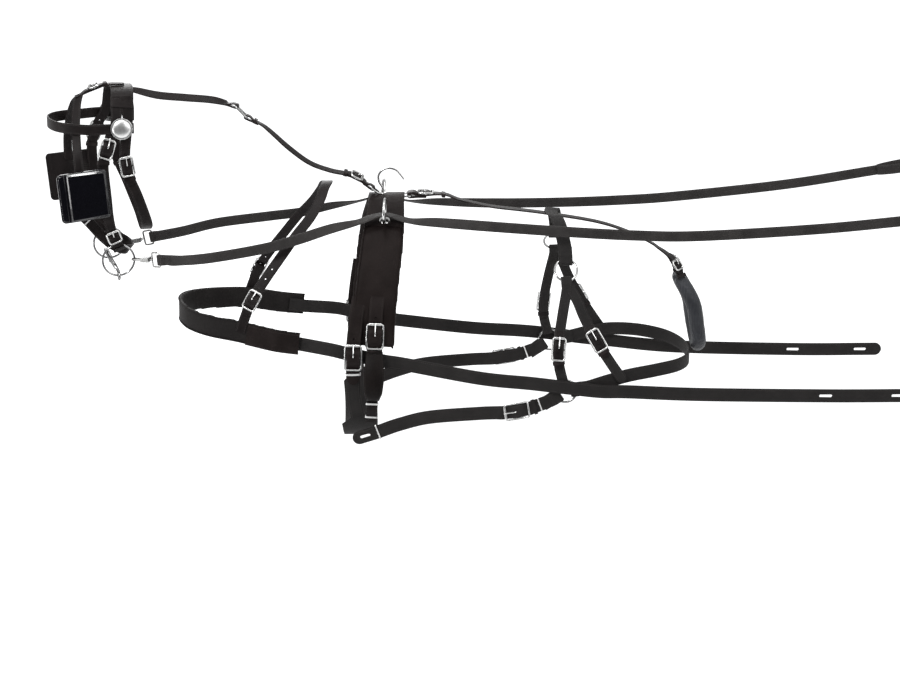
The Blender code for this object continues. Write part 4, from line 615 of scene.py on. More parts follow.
cheek_holds = ((3, narrow_reach, narrow_reach), (7, slim_strap, slim_strap * 0.6), (8, wide_strap * 0.6, 0.0))
cheek_lines = {}
for side, far in near_and_far:
    line = strap_line(cheek_rows, head, cheek_holds, far)
    cheek_lines[side] = line
    at = line.marks[3]
    crown_shapes.append(cut_strap(
        line, -0.004, at + narrow_reach * 1.5, narrow_strap, tips=("stop",),
        lift=billet_rise(at, narrow_strap),
        holes=[(at + 0.0125, 0.0, 0.0011), (at - 0.0235, 0.0, 0.0013), (at - 0.0045, 0.0, 0.0016)],
    ))
    rear = strap_line(rear_rows, head, far=far)
    crown_shapes.append(cut_strap(rear, -0.004, 0.04, rear_wide))
set_piece("crown_piece_leather", crown_shapes, black_leather, "crown_piece")

# Cheek straps: each hangs from the crown's billet by a buckle, passes behind the winker, and is sewn round
# the bit ring below a small buckle. The buckles are bent from steel wire, welded and nickel plated.


def sweep(settings, radius, sides, closed=False):
    """Carry a circle along a row of settings and close it to a solid."""
    bm = bmesh.new()
    made = bmesh.ops.create_circle(bm, segments=sides, radius=radius, matrix=settings[0])
    first = loop = list({e for v in made["verts"] for e in v.link_edges})
    for before, here in zip(settings, settings[1:]):
        grown = bmesh.ops.extrude_edge_only(bm, edges=loop)["geom"]
        verts = [g for g in grown if isinstance(g, bmesh.types.BMVert)]
        loop = [g for g in grown if isinstance(g, bmesh.types.BMEdge) and g.is_boundary]
        bmesh.ops.transform(bm, matrix=here @ before.inverted(), verts=verts)
    if closed:
        bmesh.ops.bridge_loops(bm, edges=first + loop)
    else:
        bmesh.ops.holes_fill(bm, edges=bm.edges, sides=sides)
    return bm


def draw_wire(points, radius, closed=False, sides=10, up=None, ends=()):
    """Draw a round wire along its points; ends gives the shares of its radius at an open start and stop."""
    count = len(points)
    normal = None
    settings = []
    for i, p in enumerate(points):
        before = points[i - 1] if closed or i else p
        after = points[(i + 1) % count] if closed or i < count - 1 else p
        along = (after - before).normalized()
        if up is not None:
            normal = up
        elif normal is None:
            normal = along.orthogonal()
        normal = square_to(normal, along)
        here = setting_at(p, normal, along.cross(normal), along)
        if ends:
            here = here @ Matrix.Scale(ends[0] + (ends[1] - ends[0]) * i / (count - 1), 4)
        settings.append(here)
    return sweep(settings, radius, sides, closed)


def bent_outline(length, width, corner):
    """Return the outline of a bent frame with round corners, about the origin."""
    points = []
    for quarter, (sx, sy) in enumerate(((1, 1), (-1, 1), (-1, -1), (1, -1))):
        for angle in (math.pi / 2 * (quarter + k / 4) for k in range(5)):
            x = sx * (length / 2 - corner) + math.cos(angle) * corner
            y = sy * (width / 2 - corner) + math.sin(angle) * corner
            points.append((x, y))
    return points


def smooth_path(points, steps=6):
    """Return a smooth path through a few places."""
    ring = [points[0] * 2 - points[1], *points, points[-1] * 2 - points[-2]]
    path = []
    for i in range(len(points) - 1):
        path += [curve_value(ring[i : i + 4], k / steps) for k in range(steps)]
    return path + [points[-1]]


def nickel_plate(name, tint=(0.78, 0.78, 0.77), edge_shade=(0.09, 0.09, 0.092), rough=0.24):
    """Nickel plate: a painted reflection, bright where it faces out, with painted shade darkening it to its
    edges, fine scratches and dull spots.
    """
    look, shader = new_look(name, rough, 0.5, 1.0)
    where = place_in(look)
    turned = add_node(look, "ShaderNodeLayerWeight", {"Blend": 0.5}).outputs["Facing"]
    cloudy = noise_of(look, where, 90.0, 3.0)
    fine = noise_of(look, scaled(look, where, (900.0, 2600.0, 900.0)), 1.0, 2.0)
    # Painted reflection and shade: tint where the surface faces the camera, edge_shade toward its edges.
    shade = two_tone(look, between(look, turned, 0.1, 0.66), tint, edge_shade)
    tone = two_tone(look, between(look, cloudy, 0.45, 0.85), shade, tuple(c * 0.55 for c in tint))
    return finish(look, shader, tone, cloudy, rough - 0.06, rough + 0.14, [(fine, 0.00002)])


nickel = nickel_plate("nickel")
# Copies of the nickel made darker and lighter: painted dark reflection on the wire rings and frames, painted
# highlight on the flat bars.
ring_nickel_shaded = nickel_plate("ring_nickel_shaded", (0.42, 0.42, 0.415), (0.05, 0.05, 0.052), 0.14)
bar_nickel_lit = nickel_plate("bar_nickel_lit", (0.92, 0.92, 0.91), (0.55, 0.55, 0.55), 0.5)
tongue_wire = buckle_wire * 0.8


def buckle_rim(place, width, length_share=1.0, level=rim_level, bar_level=0.0):
    """Bend a buckle's frame, arched a little over the strap, and weld its middle bar between the layers."""
    wire = buckle_wire
    half = width * buckle_room * length_share
    side = width / 2 + wire * 1.2
    drop = side - wire * 0.7
    leg = [(side, level), (side * 0.985, (level + bar_level) / 2), (drop, bar_level)]
    bar = [place @ Vector((0, y, z)) for y, z in leg + [(-y, z) for y, z in reversed(leg)]]
    outline = bent_outline(half * 2, side * 2, wire * 2.4)
    points = [place @ Vector((x, y, level + wire * 0.35 * (1 - (y / side) ** 2))) for x, y in outline]
    roller = [place @ Vector((-half, side * k / 4, level + wire * 0.2)) for k in (-3, -2.9, 0, 2.9, 3)]
    turn = place.to_3x3()
    lengthwise, out = turn.col[0], turn.col[2]
    return [
        draw_wire(points, wire, True, up=out), draw_wire(bar, wire, up=lengthwise),
        draw_wire(roller, wire * 1.45, sides=12, up=lengthwise),
    ]


def buckle_tongue(place, width, length_share=1.0, level=rim_level, top=None, low=0.0, eye=False):
    """Bend the tongue from the middle bar, up through the billet and over the front bar of the frame."""
    half = width * buckle_room * length_share
    rest = level + buckle_wire + gap + tongue_wire
    if top is None:
        top = billet_level + billet_hump + strap_thick / 2 + gap + tongue_wire
    turns = [
        (-tongue_wire * 0.4, low), (-tongue_wire * 1.4, top - tongue_wire), (-tongue_wire * 3.2, top + gap),
        (-half * 0.5, max(top, rest) + gap), (-half, rest + gap),
        (-half - tongue_wire * 2, rest - tongue_wire * 0.3),
    ]
    path = [place @ p for p in smooth_path([Vector((x, 0.0, z)) for x, z in turns], 4)]
    across = place.to_3x3().col[1]
    shapes = [draw_wire(path, tongue_wire, sides=8, up=across, ends=(1.1, 0.75))]
    if eye:
        radius = fold_in + tongue_wire * 0.75
        turns = [math.tau * k / 16 for k in range(16)]
        loop = [place @ Vector((math.cos(a) * radius, 0.0, math.sin(a) * radius)) for a in turns]
        shapes.append(draw_wire(loop, tongue_wire * 0.8, True, sides=8, up=across))
    return shapes


def keeper(line, s, width, layers, wide=0.0065, thick=0.0011, level=0.0, room=0.0008):
    """Bend a flat band round a strap, or round as many layers of it as are given."""
    bm = bmesh.new()
    lay = bm.verts.layers.float_vector.new("lay")
    bmesh.ops.create_circle(bm, segments=24, radius=1.0, matrix=Matrix.Rotation(math.pi / 2, 4, "Y"))
    for v in bm.verts:
        y = math.copysign(abs(v.co.y) ** 0.36, v.co.y) * ((width + room) / 2 + thick)
        z = math.copysign(abs(v.co.z) ** 0.36, v.co.z) * (strap_thick * layers / 2 + thick)
        v.co = Vector((-wide / 2, y, z))
    grown = bmesh.ops.extrude_edge_only(bm, edges=bm.edges[:])["geom"]
    fresh = [g for g in grown if isinstance(g, bmesh.types.BMVert)]
    bmesh.ops.translate(bm, verts=fresh, vec=(wide, 0.0, 0.0))
    bmesh.ops.recalc_face_normals(bm, faces=bm.faces)
    bmesh.ops.solidify(bm, geom=bm.faces[:], thickness=thick)
    for v in bm.verts:
        v[lay] = (v.co.y + v.co.z, v.co.x, wide / 2 - abs(v.co.x))
    bmesh.ops.transform(bm, matrix=line.at(s) @ raised(level), verts=bm.verts)
    return bm


def tab_roll(place, width):
    """Roll the tab round the buckle's middle bar."""
    bm = bmesh.new()
    middle = fold_in + strap_thick / 2
    bmesh.ops.create_grid(bm, x_segments=2, y_segments=4, size=0.5)
    lay = bm.verts.layers.float_vector.new("lay")
    for v in bm.verts:
        v.co = Vector((0.0, v.co.y * (width - gap * 2), -middle + v.co.x * strap_thick))
    bmesh.ops.spin(
        bm, geom=bm.verts[:] + bm.edges[:] + bm.faces[:], cent=(0, 0, 0), axis=(0, 1, 0), dvec=(0, 0, 0),
        angle=math.radians(260.0), steps=18, use_duplicate=False,
    )
    for v in bm.verts:
        v[lay] = (math.atan2(v.co.x, v.co.z) * middle, v.co.y, width / 2 - abs(v.co.y))
    bmesh.ops.transform(bm, matrix=place, verts=bm.verts)
    return bm


def buckle_on(line, at, width, name, look, length_share=0.8, backward=False, lap=1.9, holes=True):
    """Lay a billet over a strap and set a whole buckle on it: frame, tongue, billet and a leather keeper."""
    bar = strap_thick / 2 + buckle_wire
    low = strap_thick + gap
    hump = bar + buckle_wire + gap + strap_thick / 2 - low
    level = low + strap_thick / 2 + buckle_wire * 0.8
    top = low + hump + strap_thick / 2 + gap + tongue_wire
    sign = -1 if backward else 1
    begin = at - sign * width * 1.75
    end = at + sign * width * lap
    over = billet_rise(at, width * length_share, low, hump)
    dots = [(at - sign * width * 1.22, 0.0, 0.0013), (at + sign * width * 0.42, 0.0, 0.001)]
    billet = cut_strap(
        line, min(begin, end), max(begin, end), width * 0.985, tips=("start",) if backward else ("stop",),
        lift=lambda s: over(s) * ease((s - begin) / (sign * width * 0.75)), holes=dots if holes else (),
    )
    loop = keeper(line, at + sign * width * 1.3, width, 2.25, level=strap_thick * 0.5 + gap)
    set_piece(name + "_billet", [billet, loop], look)
    place = line.at(at) @ half_turn if backward else line.at(at)
    metal = buckle_rim(place, width, length_share, level, bar)
    metal += buckle_tongue(place, width, length_share, level, top, bar)
    set_piece(name, metal, nickel)


bit_radius = 0.029
ring_wire = 0.002
billet_keep = {"layers": 2.4, "level": billet_level - strap_thick * 0.6}
for side, far in near_and_far:
    line = cheek_lines[side]
    marks = line.marks
    place = line.at(marks[3])
    line.turn_back(False, ring_wire, bit_radius, narrow_strap)
    shapes = [cut_strap(
        line, marks[3], line.stop, narrow_strap, holes=[(marks[7] - 0.021, 0.0, 0.0012)],
        lift=lambda s: tab_level * (1 - held((s - marks[5]) / (marks[6] - marks[5]))),
    )]
    shapes.append(tab_roll(place, narrow_strap))
    shapes.append(keeper(line, marks[3] + narrow_strap * 1.35, narrow_strap, **billet_keep))
    set_piece("cheek_strap_" + side, shapes, black_leather, "cheek_" + side)
    metal = buckle_rim(place, narrow_strap) + buckle_tongue(place, narrow_strap)
    set_piece("cheek_frame_" + side, metal, nickel, "cheek_buckle_" + side)
    buckle_on(line, marks[7], narrow_strap, "bit_buckle_" + side, black_leather, 0.64, lap=1.1, holes=False)

# Throatlatch: one narrow leather strap from the crown's rear ends round under the throat, with a buckle,
# a punched billet and a keeper on each side.
throat_rows = [
    (3, -54.5, -30, 0, -1, 0.3), (-4, -66, -70, 0, -1, 0.2), (-7.6, -70, -128, 0, -1, 0),
    (13, -68, -186, 0, -1, -0.2), (30, -54, -236, 0, -1, -0.7), (33.6, -30, -254.5, 0, -0.6, -1),
    (34, 0, -262, 0, 0, -1),
]
throat_line = strap_line(throat_rows, head, ((2, narrow_reach, narrow_reach),), both=True)
set_piece("throat_strap", [whole_strap(throat_line, narrow_strap)], black_leather, "throatlatch")
for mark, side, far in ((2, "left", False), (10, "right", True)):
    at = throat_line.marks[mark]
    buckle_on(throat_line, at, narrow_strap, "throat_buckle_" + side, black_leather, 1.0, far)

# Browband: a patent strap across the forehead whose ends loop round the crown piece, and a domed
# nickel rosette on each end, pressed from sheet over a rolled rim.
brow_rows = [
    (8, -78, -57), (-30.2, -78, -57), (-69, -72, -58, -0.25, -1, 0), (-103, -59, -57, -0.6, -1, 0),
    (-127, -36, -56, -1, -0.7, 0), (-136, 0, -55, -1, 0, 0),
]
brow_line = strap_line(brow_rows, head, ((1, narrow_strap, narrow_strap),), both=True)
set_piece("brow_strap", [whole_strap(brow_line, narrow_strap)], black_leather, "browband")
rosette_radius = 0.0195
rosette_height = 0.007
rosette_rim = [(0.0, 0.0), (0.93, 0.0), (1.0, 0.06), (1.0, 0.16), (0.94, 0.22), (0.88, 0.2)]
# The rosette's plating is a lighter copy of the nickel: a painted highlight for the lamp light it should
# catch.
rosette_plate_lit = nickel_plate("rosette_plate_lit", (0.84, 0.84, 0.83), (0.24, 0.24, 0.24), 0.34)


def turn_round(bm, geom, steps, place):
    """Turn an outline once round its setting's Z axis."""
    bmesh.ops.spin(
        bm, geom=geom, cent=(0, 0, 0), axis=(0, 0, 1), dvec=(0, 0, 0), angle=math.tau, steps=steps,
        use_merge=True, use_duplicate=False,
    )
    bmesh.ops.remove_doubles(bm, verts=bm.verts, dist=0.00001)
    bmesh.ops.transform(bm, matrix=place, verts=bm.verts)
    return bm


for side, mark, shift in (("left", 1, -narrow_strap * 0.85), ("right", 9, narrow_strap * 0.85)):
    place = brow_line.at(brow_line.marks[mark] + shift) @ raised(strap_thick / 2 + gap)
    bm = bmesh.new()
    dome = [(0.88 * math.cos(a * 0.1745), 0.2 + 0.8 * math.sin(a * 0.1745)) for a in range(1, 9)]
    profile = rosette_rim + dome + [(0.0, 1.0)]
    chain = [bm.verts.new((r * rosette_radius, 0.0, z * rosette_height)) for r, z in profile]
    edges = [bm.edges.new(pair) for pair in zip(chain, chain[1:])]
    shape = turn_round(bm, chain + edges, 48, place)
    set_piece("rosette_dome_" + side, [shape], rosette_plate_lit, "rosette_" + side)

# Winker stay: a slim leather strap from the crown that forks over the forehead, its two ends sewn to the
# winkers that they hold, with a small buckle where it is let out.
stay_rows = [
    (4, 0, 9.4, 0, 0, 1), (-24, 0, 9.6), (-50, 0, 2.3), (-85.6, 0, -11.8),
]
branch_rows = [
    (-78, -2, -8.5, -0.3, 0, 1), (-85, -20, -23.5, -0.5, -0.7, 1), (-91, -45, -55, -0.5, -1, 1),
    (-93.5, -70, -93, -0.3, -1, 0.6), (-93, -82.2, -124, 0, -1, 0.1), (-92.5, -82.6, -146, 0, -1, 0),
]
stay_line = strap_line(stay_rows, head, ((2, narrow_strap * 0.7, narrow_strap * 0.7),))
stay_shapes = [whole_strap(stay_line, slim_strap, tips=("start",))]
for far, lift in ((False, gap * 2), (True, gap)):
    branch = strap_line(branch_rows, head, far=far)
    stay_shapes.append(whole_strap(branch, slim_strap, lift=lift, tips=("stop",)))
set_piece("stay_strap", stay_shapes, black_leather, "winker_stay")
at = stay_line.marks[2]
buckle_on(stay_line, at, slim_strap, "stay_buckle", black_leather, 0.6, True, lap=1.1, holes=False)

# Winkers: square blinkers of stiff patent leather over a plate, moulded to a raised panel with a rolled,
# stitched rim outside, and plain dark leather inside.


def patent_leather(name):
    """Patent leather: black lacquer that mirrors the lamps, very slightly uneven, with a stitched rim."""
    look, shader = new_look(name, 0.07, 0.5)
    lay, along, across, inset = lay_of(look)
    where = place_in(look)
    dust = noise_of(look, where, 380.0, 3.0)
    wave = noise_of(look, where, 26.0, 2.0)
    thread = stitch_share(look, along, inset, 0.003)
    tone = two_tone(look, between(look, dust, 0.45, 0.8), (0.0022, 0.0022, 0.0036), (0.004, 0.004, 0.0062))
    tone = two_tone(look, thread, tone, (0.03, 0.03, 0.032))
    return finish(look, shader, tone, dust, 0.05, 0.13, [(wave, 0.0005), (thread, 0.0002)])


def facing_place(centre, normal, up, setting=worn, far=False):
    """Return the setting of a flat thing: Z outward and Y up along its plane."""
    turn = setting.to_3x3()
    out = (turn @ (Vector(normal) * flips[far])).normalized()
    top = square_to(turn @ (Vector(up) * flips[far]), out)
    return setting_at(setting @ (Vector(centre) * flips[far]), top.cross(out), top, out)


patent = patent_leather("patent_black")
lining_leather = strap_leather(
    "lining_leather", (0.0085, 0.007, 0.007), (0.013, 0.0105, 0.0105), (0.02, 0.018, 0.017), 0.6, 0.08,
)
winker_side = 0.09
winker_thick = 0.004
winker_flange = 0.0155
winker_steps = ((False, 0.0026, 0.0), (False, 0.0012, 0.0012), (True, 0.0018, 0.0), (True, 0.0045, 0.005))
for side, far in near_and_far:
    place = facing_place((-0.086, -0.0871, -0.175), (0.05, -1, 0), (-0.09, 0, 1), head, far)
    bm = bmesh.new()
    bmesh.ops.create_cube(bm, size=1.0)
    bmesh.ops.scale(bm, verts=bm.verts, vec=(winker_side, winker_side, winker_thick))
    upright = [e for e in bm.edges if abs(e.verts[0].co.z - e.verts[1].co.z) > winker_thick * 0.5]
    round_edges(bm, upright, winker_side * 0.09, 6)
    front = winker_side / 2 if far else -winker_side / 2
    seam = front + math.copysign(winker_flange, -front)
    whole = bm.verts[:] + bm.edges[:] + bm.faces[:]
    bmesh.ops.bisect_plane(bm, geom=whole, plane_co=(seam, 0, 0), plane_no=(1, 0, 0), dist=0.00001)
    outer = [f for f in bm.faces if f.normal.z > 0.9]
    outer.sort(key=lambda f: abs(f.calc_center_median().x - front))
    for panel, thickness, depth in winker_steps:
        bmesh.ops.inset_region(bm, faces=[outer[-1 if panel else 0]], thickness=thickness, depth=depth)
    rim = [e for e in bm.edges if e.is_manifold and e.calc_face_angle() > 0.35]
    round_edges(bm, rim, 0.0009, 4)
    for smooth in [f for f in bm.faces if abs(f.normal.z) > 0.99 and f.calc_area() > 0.0004]:
        bmesh.ops.inset_region(bm, faces=[smooth], thickness=0.001, depth=0.0)
    lay = bm.verts.layers.float_vector.new("lay")
    for v in bm.verts:
        in_x = winker_side / 2 - abs(v.co.x)
        in_y = winker_side / 2 - abs(v.co.y)
        v[lay] = (v.co.x if in_y < in_x else v.co.y, 0.0, min(in_x, in_y))
    bmesh.ops.transform(bm, matrix=place, verts=bm.verts)
    piece = set_piece("winker_shell_" + side, [bm], patent, "winker_" + side, sharp=30.0)
    piece.data.materials.append(lining_leather)
    out = place.to_3x3().col[2]
    for face in piece.data.polygons:
        if face.normal.dot(out) < -0.7:
            face.material_index = 1

# Noseband: a narrow strap of the same black leather, sewn into a loop that goes round the nose inside both
# cheek straps, with a flat nickel keeper bar round it on each side.
nose_rows = [
    (-104, 0, -212, -1, 0, 0.6), (-98, -30, -215, -1, -0.8, 0.5), (-80, -50, -227, -0.4, -1, 0.1),
    (-55, -55.7, -256, 0, -1, 0), (-35.5, -55.3, -275), (-15, -49, -287, 0.2, -1, -0.2),
    (0, -32, -292.5, 0.5, -1, -0.5), (5, 0, -294, 0.7, 0, -0.7),
]
nose_line = strap_line(nose_rows, head, closed=True, both=True)
set_piece("nose_strap", [whole_strap(nose_line, narrow_strap)], black_leather, "noseband")
for side, s in (("left", nose_line.marks[2] + 0.006), ("right", nose_line.marks[12] - 0.006)):
    bar = keeper(nose_line, s, narrow_strap, 1.08, 0.0026, room=0.0004)
    set_piece("nose_keeper_" + side, [bar], bar_nickel_lit)

# Bit: two loose rings and a mouthpiece, bent from round steel and polished. The cheek straps are folded
# round the rings, and each end of the mouthpiece has an eye that runs on its ring.
bit_centre = Vector((-0.0312, -0.062, -0.2758)) + Vector((0.0065, 0.0, -0.0283)).normalized() * bit_radius
mouth_rows = [
    (-30, -48, -318), (-36, -30, -308), (-38, 0, -304),
]


def bend_ring(place, radius, wire, steps=56, sides=12):
    """Bend a round ring in its setting's plane."""
    bm = bmesh.new()
    start = Matrix.Translation((radius, 0, 0)) @ Matrix.Rotation(math.pi / 2, 4, "X")
    made = bmesh.ops.create_circle(bm, segments=sides, radius=wire, matrix=start)
    edges = list({e for v in made["verts"] for e in v.link_edges})
    return turn_round(bm, made["verts"] + edges, steps, place)


def hang_ring(name, node, place, radius, look):
    """Hang a ring that turns on its own."""
    set_piece(name, [bend_ring(place, radius, ring_wire)], look, node, node)


steel = nickel_plate("bit_steel", (0.36, 0.36, 0.36), (0.05, 0.05, 0.05), 0.12)
mouth_points = [head @ Vector(p) for p in read_rows(mouth_rows, True)[0]]
mouth_shapes = []
for side, far in near_and_far:
    place = facing_place(bit_centre, (0, -1, 0), (0, 0, 1), head, far)
    hang_ring("bit_loop_" + side, "bit_ring_" + side, place, bit_radius, steel)
    middle = place @ Matrix.Translation((0, gap * 2 - ring_wire * 0.8 - bit_radius, 0))
    mouth_points.insert(len(mouth_points) if far else 0, middle @ Vector((0, ring_wire * 2, -ring_wire * 3)))
    eye = middle @ Matrix.Rotation(math.pi / 2, 4, "Y")
    mouth_shapes.append(bend_ring(eye, ring_wire * 3.0, ring_wire * 1.2, 24, 10))
mouth_shapes.append(draw_wire(smooth_path(mouth_points), ring_wire * 2.0, sides=14))
set_piece("bit_mouth", mouth_shapes, steel, "bit_mouthpiece", "bit_mouthpiece")

# Check: a slim leather strap back from the crown to a flat link of nickelled wire, and a second one from
# the link to the saddle's hook. Their ends are folded round the link, and a buckle near the hook lets the
# second one out.
check_rows = [
    (-474, 0, 191.4, 0.01, -0.05, 1), (-452, -1, 187.5, 0, -0.5, 1), (-410, -3, 178, 0, -1.1, 1),
    (-360, 2, 172.6), (-310, 1, 168, 0, -0.9, 1), (-270, 0, 157.5, 0, 0, 1),
]
check_rear_rows = [
    (-250.5, 0, 137, 0, 0, 1), (-225, 0, 123.5, 0, -0.1, 1), (-209.1, 0, 111, 0, -0.2, 1),
    (-173.3, 0, 78, 0, -0.3, 1), (-137.2, 0, 51.5), (-100.7, 0, 37.5), (-73.3, 0, 31.5), (-53, 0, 24.5),
    (-38, 0, 14.5, 0, -0.15, 1), (-23.5, 0, 5, 0, 0, 1),
]
check_line = strap_line(check_rows, straight=((5, slim_strap, 0.0),))
check_line.turn_back(False, buckle_wire, 0.0, slim_strap, 0.014)
set_piece("check_front", [whole_strap(check_line, slim_strap)], black_leather, "check_front_strap")
slim_hold = slim_strap * 0.7
check_rear = strap_line(
    check_rear_rows, straight=((0, 0.0, slim_strap), (7, slim_hold, slim_hold), (9, slim_strap * 0.6, 0.0)),
)
check_rear.turn_back(False, buckle_wire, 0.0, slim_strap, 0.006)
check_rear.turn_back(True, buckle_wire, 0.0, slim_strap, 0.012)
check_shapes = [whole_strap(check_rear, slim_strap)]
check_shapes.append(keeper(check_rear, 0.017, slim_strap, 2.3, 0.006, room=0.0006))
set_piece("check_rear", check_shapes, black_leather, "check_rear_strap")
at = check_rear.marks[7]
buckle_on(check_rear, at, slim_strap, "check_buckle", black_leather, 0.7, True, lap=1.25, holes=False)


def bent_frame(place, length, width, corner):
    """Bend a flat frame of buckle wire in its setting's plane."""
    points = [place @ Vector((x, y, 0)) for x, y in bent_outline(length, width, corner)]
    return draw_wire(points, buckle_wire, True, up=place.to_3x3().col[2])


link_a = worn @ Vector(read_rows(check_rows)[0][-1])
link_b = worn @ Vector(read_rows(check_rear_rows)[0][0])
along = (link_b - link_a).normalized()
sideways = Vector((0, 1, 0))
link_place = setting_at((link_a + link_b) / 2, along, sideways, along.cross(sideways))
link_width = slim_strap + buckle_wire * 4
link = bent_frame(link_place, (link_b - link_a).length, link_width, buckle_wire * 1.5)
set_piece("check_loop", [link], ring_nickel_shaded, "check_link")

# Saddle: a narrow padded band over the back, covered in black leather cloth over felt, with a top strap
# sewn along its middle, billets for the tugs and the girth, a dee behind, and the hook and terrets on top.
saddle_rows = [
    (-25.7, -159.5, -256), (-20, -156.5, -185, 0, -1, 0.08), (-14, -143, -130, 0, -1, 0.35),
    (-7.5, -119, -86, 0, -1, 0.75), (-2.7, -85, -53, 0, -0.65, 1), (1.5, -45, -25.5, 0, -0.35, 1),
    (3.5, 0, -12, 0, 0, 1),
]
tug_rows = [
    (-14, -153, -150, 0, -1, 0.25), (-18.5, -165, -190, 0, -1, 0.15), (-22, -173, -234, 0, -1, 0.05),
    (-25, -174.5, -264, 0, -1, 0), (-25.5, -174.5, -355),
]
girth_rows = [
    (-49, -156, -165, 0, -1, 0.25), (-55, -168, -205, 0, -1, 0.12), (-59.8, -174.5, -245, 0, -1, 0.04),
    (-61, -175.5, -272, 0, -1, 0), (-61.2, -174.5, -305, 0, -1, -0.04), (-60, -170, -352.2, 0, -1, -0.2),
    (-53, -157, -394, 0, -1, -0.5), (-49, -120, -431, 0, -0.7, -1), (-48, -62, -452, 0, -0.3, -1),
    (-48, 0, -457, 0, 0, -1),
]
pad_thick = 0.01
pad_width = 0.079
pad_top_width = 0.064
tug_loop_length = 0.094
tug_loop_depth = 0.024


def pad_cloth(name, colour, pale, rough, gloss, pebbles=700.0, folds=(90.0, 40.0, 40.0), deep=0.0008):
    """Pad covering: leather cloth with a pebbled grain, soft creases and a faint bloom where it is rubbed."""
    look, shader = new_look(name, rough, gloss)
    where = place_in(look)
    cloudy = noise_of(look, where, 22.0, 4.0)
    sockets = {"Vector": where, "Scale": pebbles}
    pebble = add_node(look, "ShaderNodeTexVoronoi", sockets, feature="F1").outputs[0]
    crease = noise_of(look, scaled(look, where, folds), 1.0, 5.0)
    tone = two_tone(look, between(look, cloudy, 0.3, 0.75), colour, pale)
    return finish(look, shader, tone, cloudy, rough - 0.1, rough + 0.12, [(pebble, 0.00012), (crease, deep)])


pad_black = pad_cloth("pad_black", (0.01, 0.0072, 0.0067), (0.015, 0.0112, 0.0105), 0.55, 0.06)
saddle_leather = strap_leather(
    "saddle_leather", (0.01, 0.0074, 0.007), (0.015, 0.0114, 0.0108), (0.024, 0.02, 0.019), 0.5, 0.07,
)
saddle_line = strap_line(saddle_rows, both=True)


def pad_wide(s):
    """Return the saddle pad's width; it narrows to its top."""
    share = abs(s / saddle_line.length - 0.5) * 2
    return pad_top_width + (pad_width - pad_top_width) * min(share / 0.4, 1.0)


def baked(item):
    """Return an object's mesh as its modifiers leave it, and take them off."""
    graph = bpy.context.evaluated_depsgraph_get()
    made = bpy.data.meshes.new_from_object(item.evaluated_get(graph))
    item.modifiers.clear()
    return made


def stuff_pad(shape, name, look, most, voxel, node=None):
    """Stuff a pad: its cover is remeshed and blown up as cloth, moved no further than most, then smoothed."""
    bmesh.ops.recalc_face_normals(shape, faces=shape.faces)
    pad = mesh_object(name, shape, look)
    remesh = pad.modifiers.new("felt", "REMESH")
    remesh.mode = "VOXEL"
    remesh.voxel_size = voxel
    firm = baked(pad)
    pad.data = firm
    rest = [v.co.copy() for v in firm.vertices]
    cloth = pad.modifiers.new("stuffing", "CLOTH")
    cloth.settings.use_pressure = True
    cloth.settings.uniform_pressure_force = 4.0
    cloth.settings.effector_weights.gravity = 0.0
    cloth.settings.quality = 4
    cloth.point_cache.frame_start = 1
    cloth.point_cache.frame_end = 20
    for step in range(1, 21):
        bpy.context.scene.frame_set(step)
    blown = baked(pad)
    bpy.context.scene.frame_set(1)
    outward = [v.normal.copy() for v in firm.vertices]
    moved = [v.co.copy() for v in blown.vertices]
    for v, old, new, out in zip(firm.vertices, rest, moved, outward):
        v.co = old + out * min(max((new - old).dot(out), 0.0), most)
    bm = bmesh.new()
    bm.from_mesh(firm)
    for turn in range(2):
        bmesh.ops.smooth_vert(
            bm, verts=bm.verts, factor=0.5, use_axis_x=True, use_axis_y=True, use_axis_z=True,
        )
    bm.to_mesh(firm)
    bm.free()
    if not firm.materials:
        firm.materials.append(look)
    firm.shade_smooth()
    soft = pad.modifiers.new("smooth", "SUBSURF")
    soft.levels = 1
    soft.render_levels = 1
    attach(pad, "harness")
    if node:
        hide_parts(node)


def piping(line, width, depth, inset, sink, radius, steps):
    """Draw the cord sewn in along both edges of a pad."""
    width, depth = rule_of(width), rule_of(depth)
    cords = []
    for edge in (-1, 1):
        points = []
        for s in (line.length * k / steps for k in range(steps + 1)):
            points.append(line.at(s) @ Vector((0.0, edge * (width(s) / 2 - inset), depth(s) / 2 - sink)))
        cords.append(draw_wire(points, radius, sides=8))
    return cords


pad_shape = cut_strap(
    saddle_line, 0.002, saddle_line.length - 0.002, lambda s: pad_wide(s) - 0.0005, pad_thick - 0.003,
    -0.0004, cuts=11,
)
stuff_pad(pad_shape, "saddle_padding", pad_black, 0.0018, 0.0034, "saddle_pad")
cord_inset = 0.0035
cord_sink = 0.0012
cord_radius = 0.0017
saddle_trim = piping(saddle_line, pad_wide, pad_thick, cord_inset, cord_sink, cord_radius, 90)
for s in (cord_inset, saddle_line.length - cord_inset):
    half = pad_wide(s) / 2 - cord_inset
    level = pad_thick / 2 - cord_sink
    points = [saddle_line.at(s) @ Vector((0.0, half * (k / 10 - 1), level)) for k in range(21)]
    saddle_trim.append(draw_wire(points, cord_radius, sides=8))
set_piece("saddle_piping", saddle_trim, pad_black)
top_middle = saddle_line.length * 0.5
top_reach = 0.098
top_strap = cut_strap(
    saddle_line, top_middle - top_reach, top_middle + top_reach, pad_top_width + 0.001, 0.003,
    pad_thick / 2 + 0.0008, cuts=7,
)
set_piece("saddle_top_leather", [top_strap], saddle_leather)

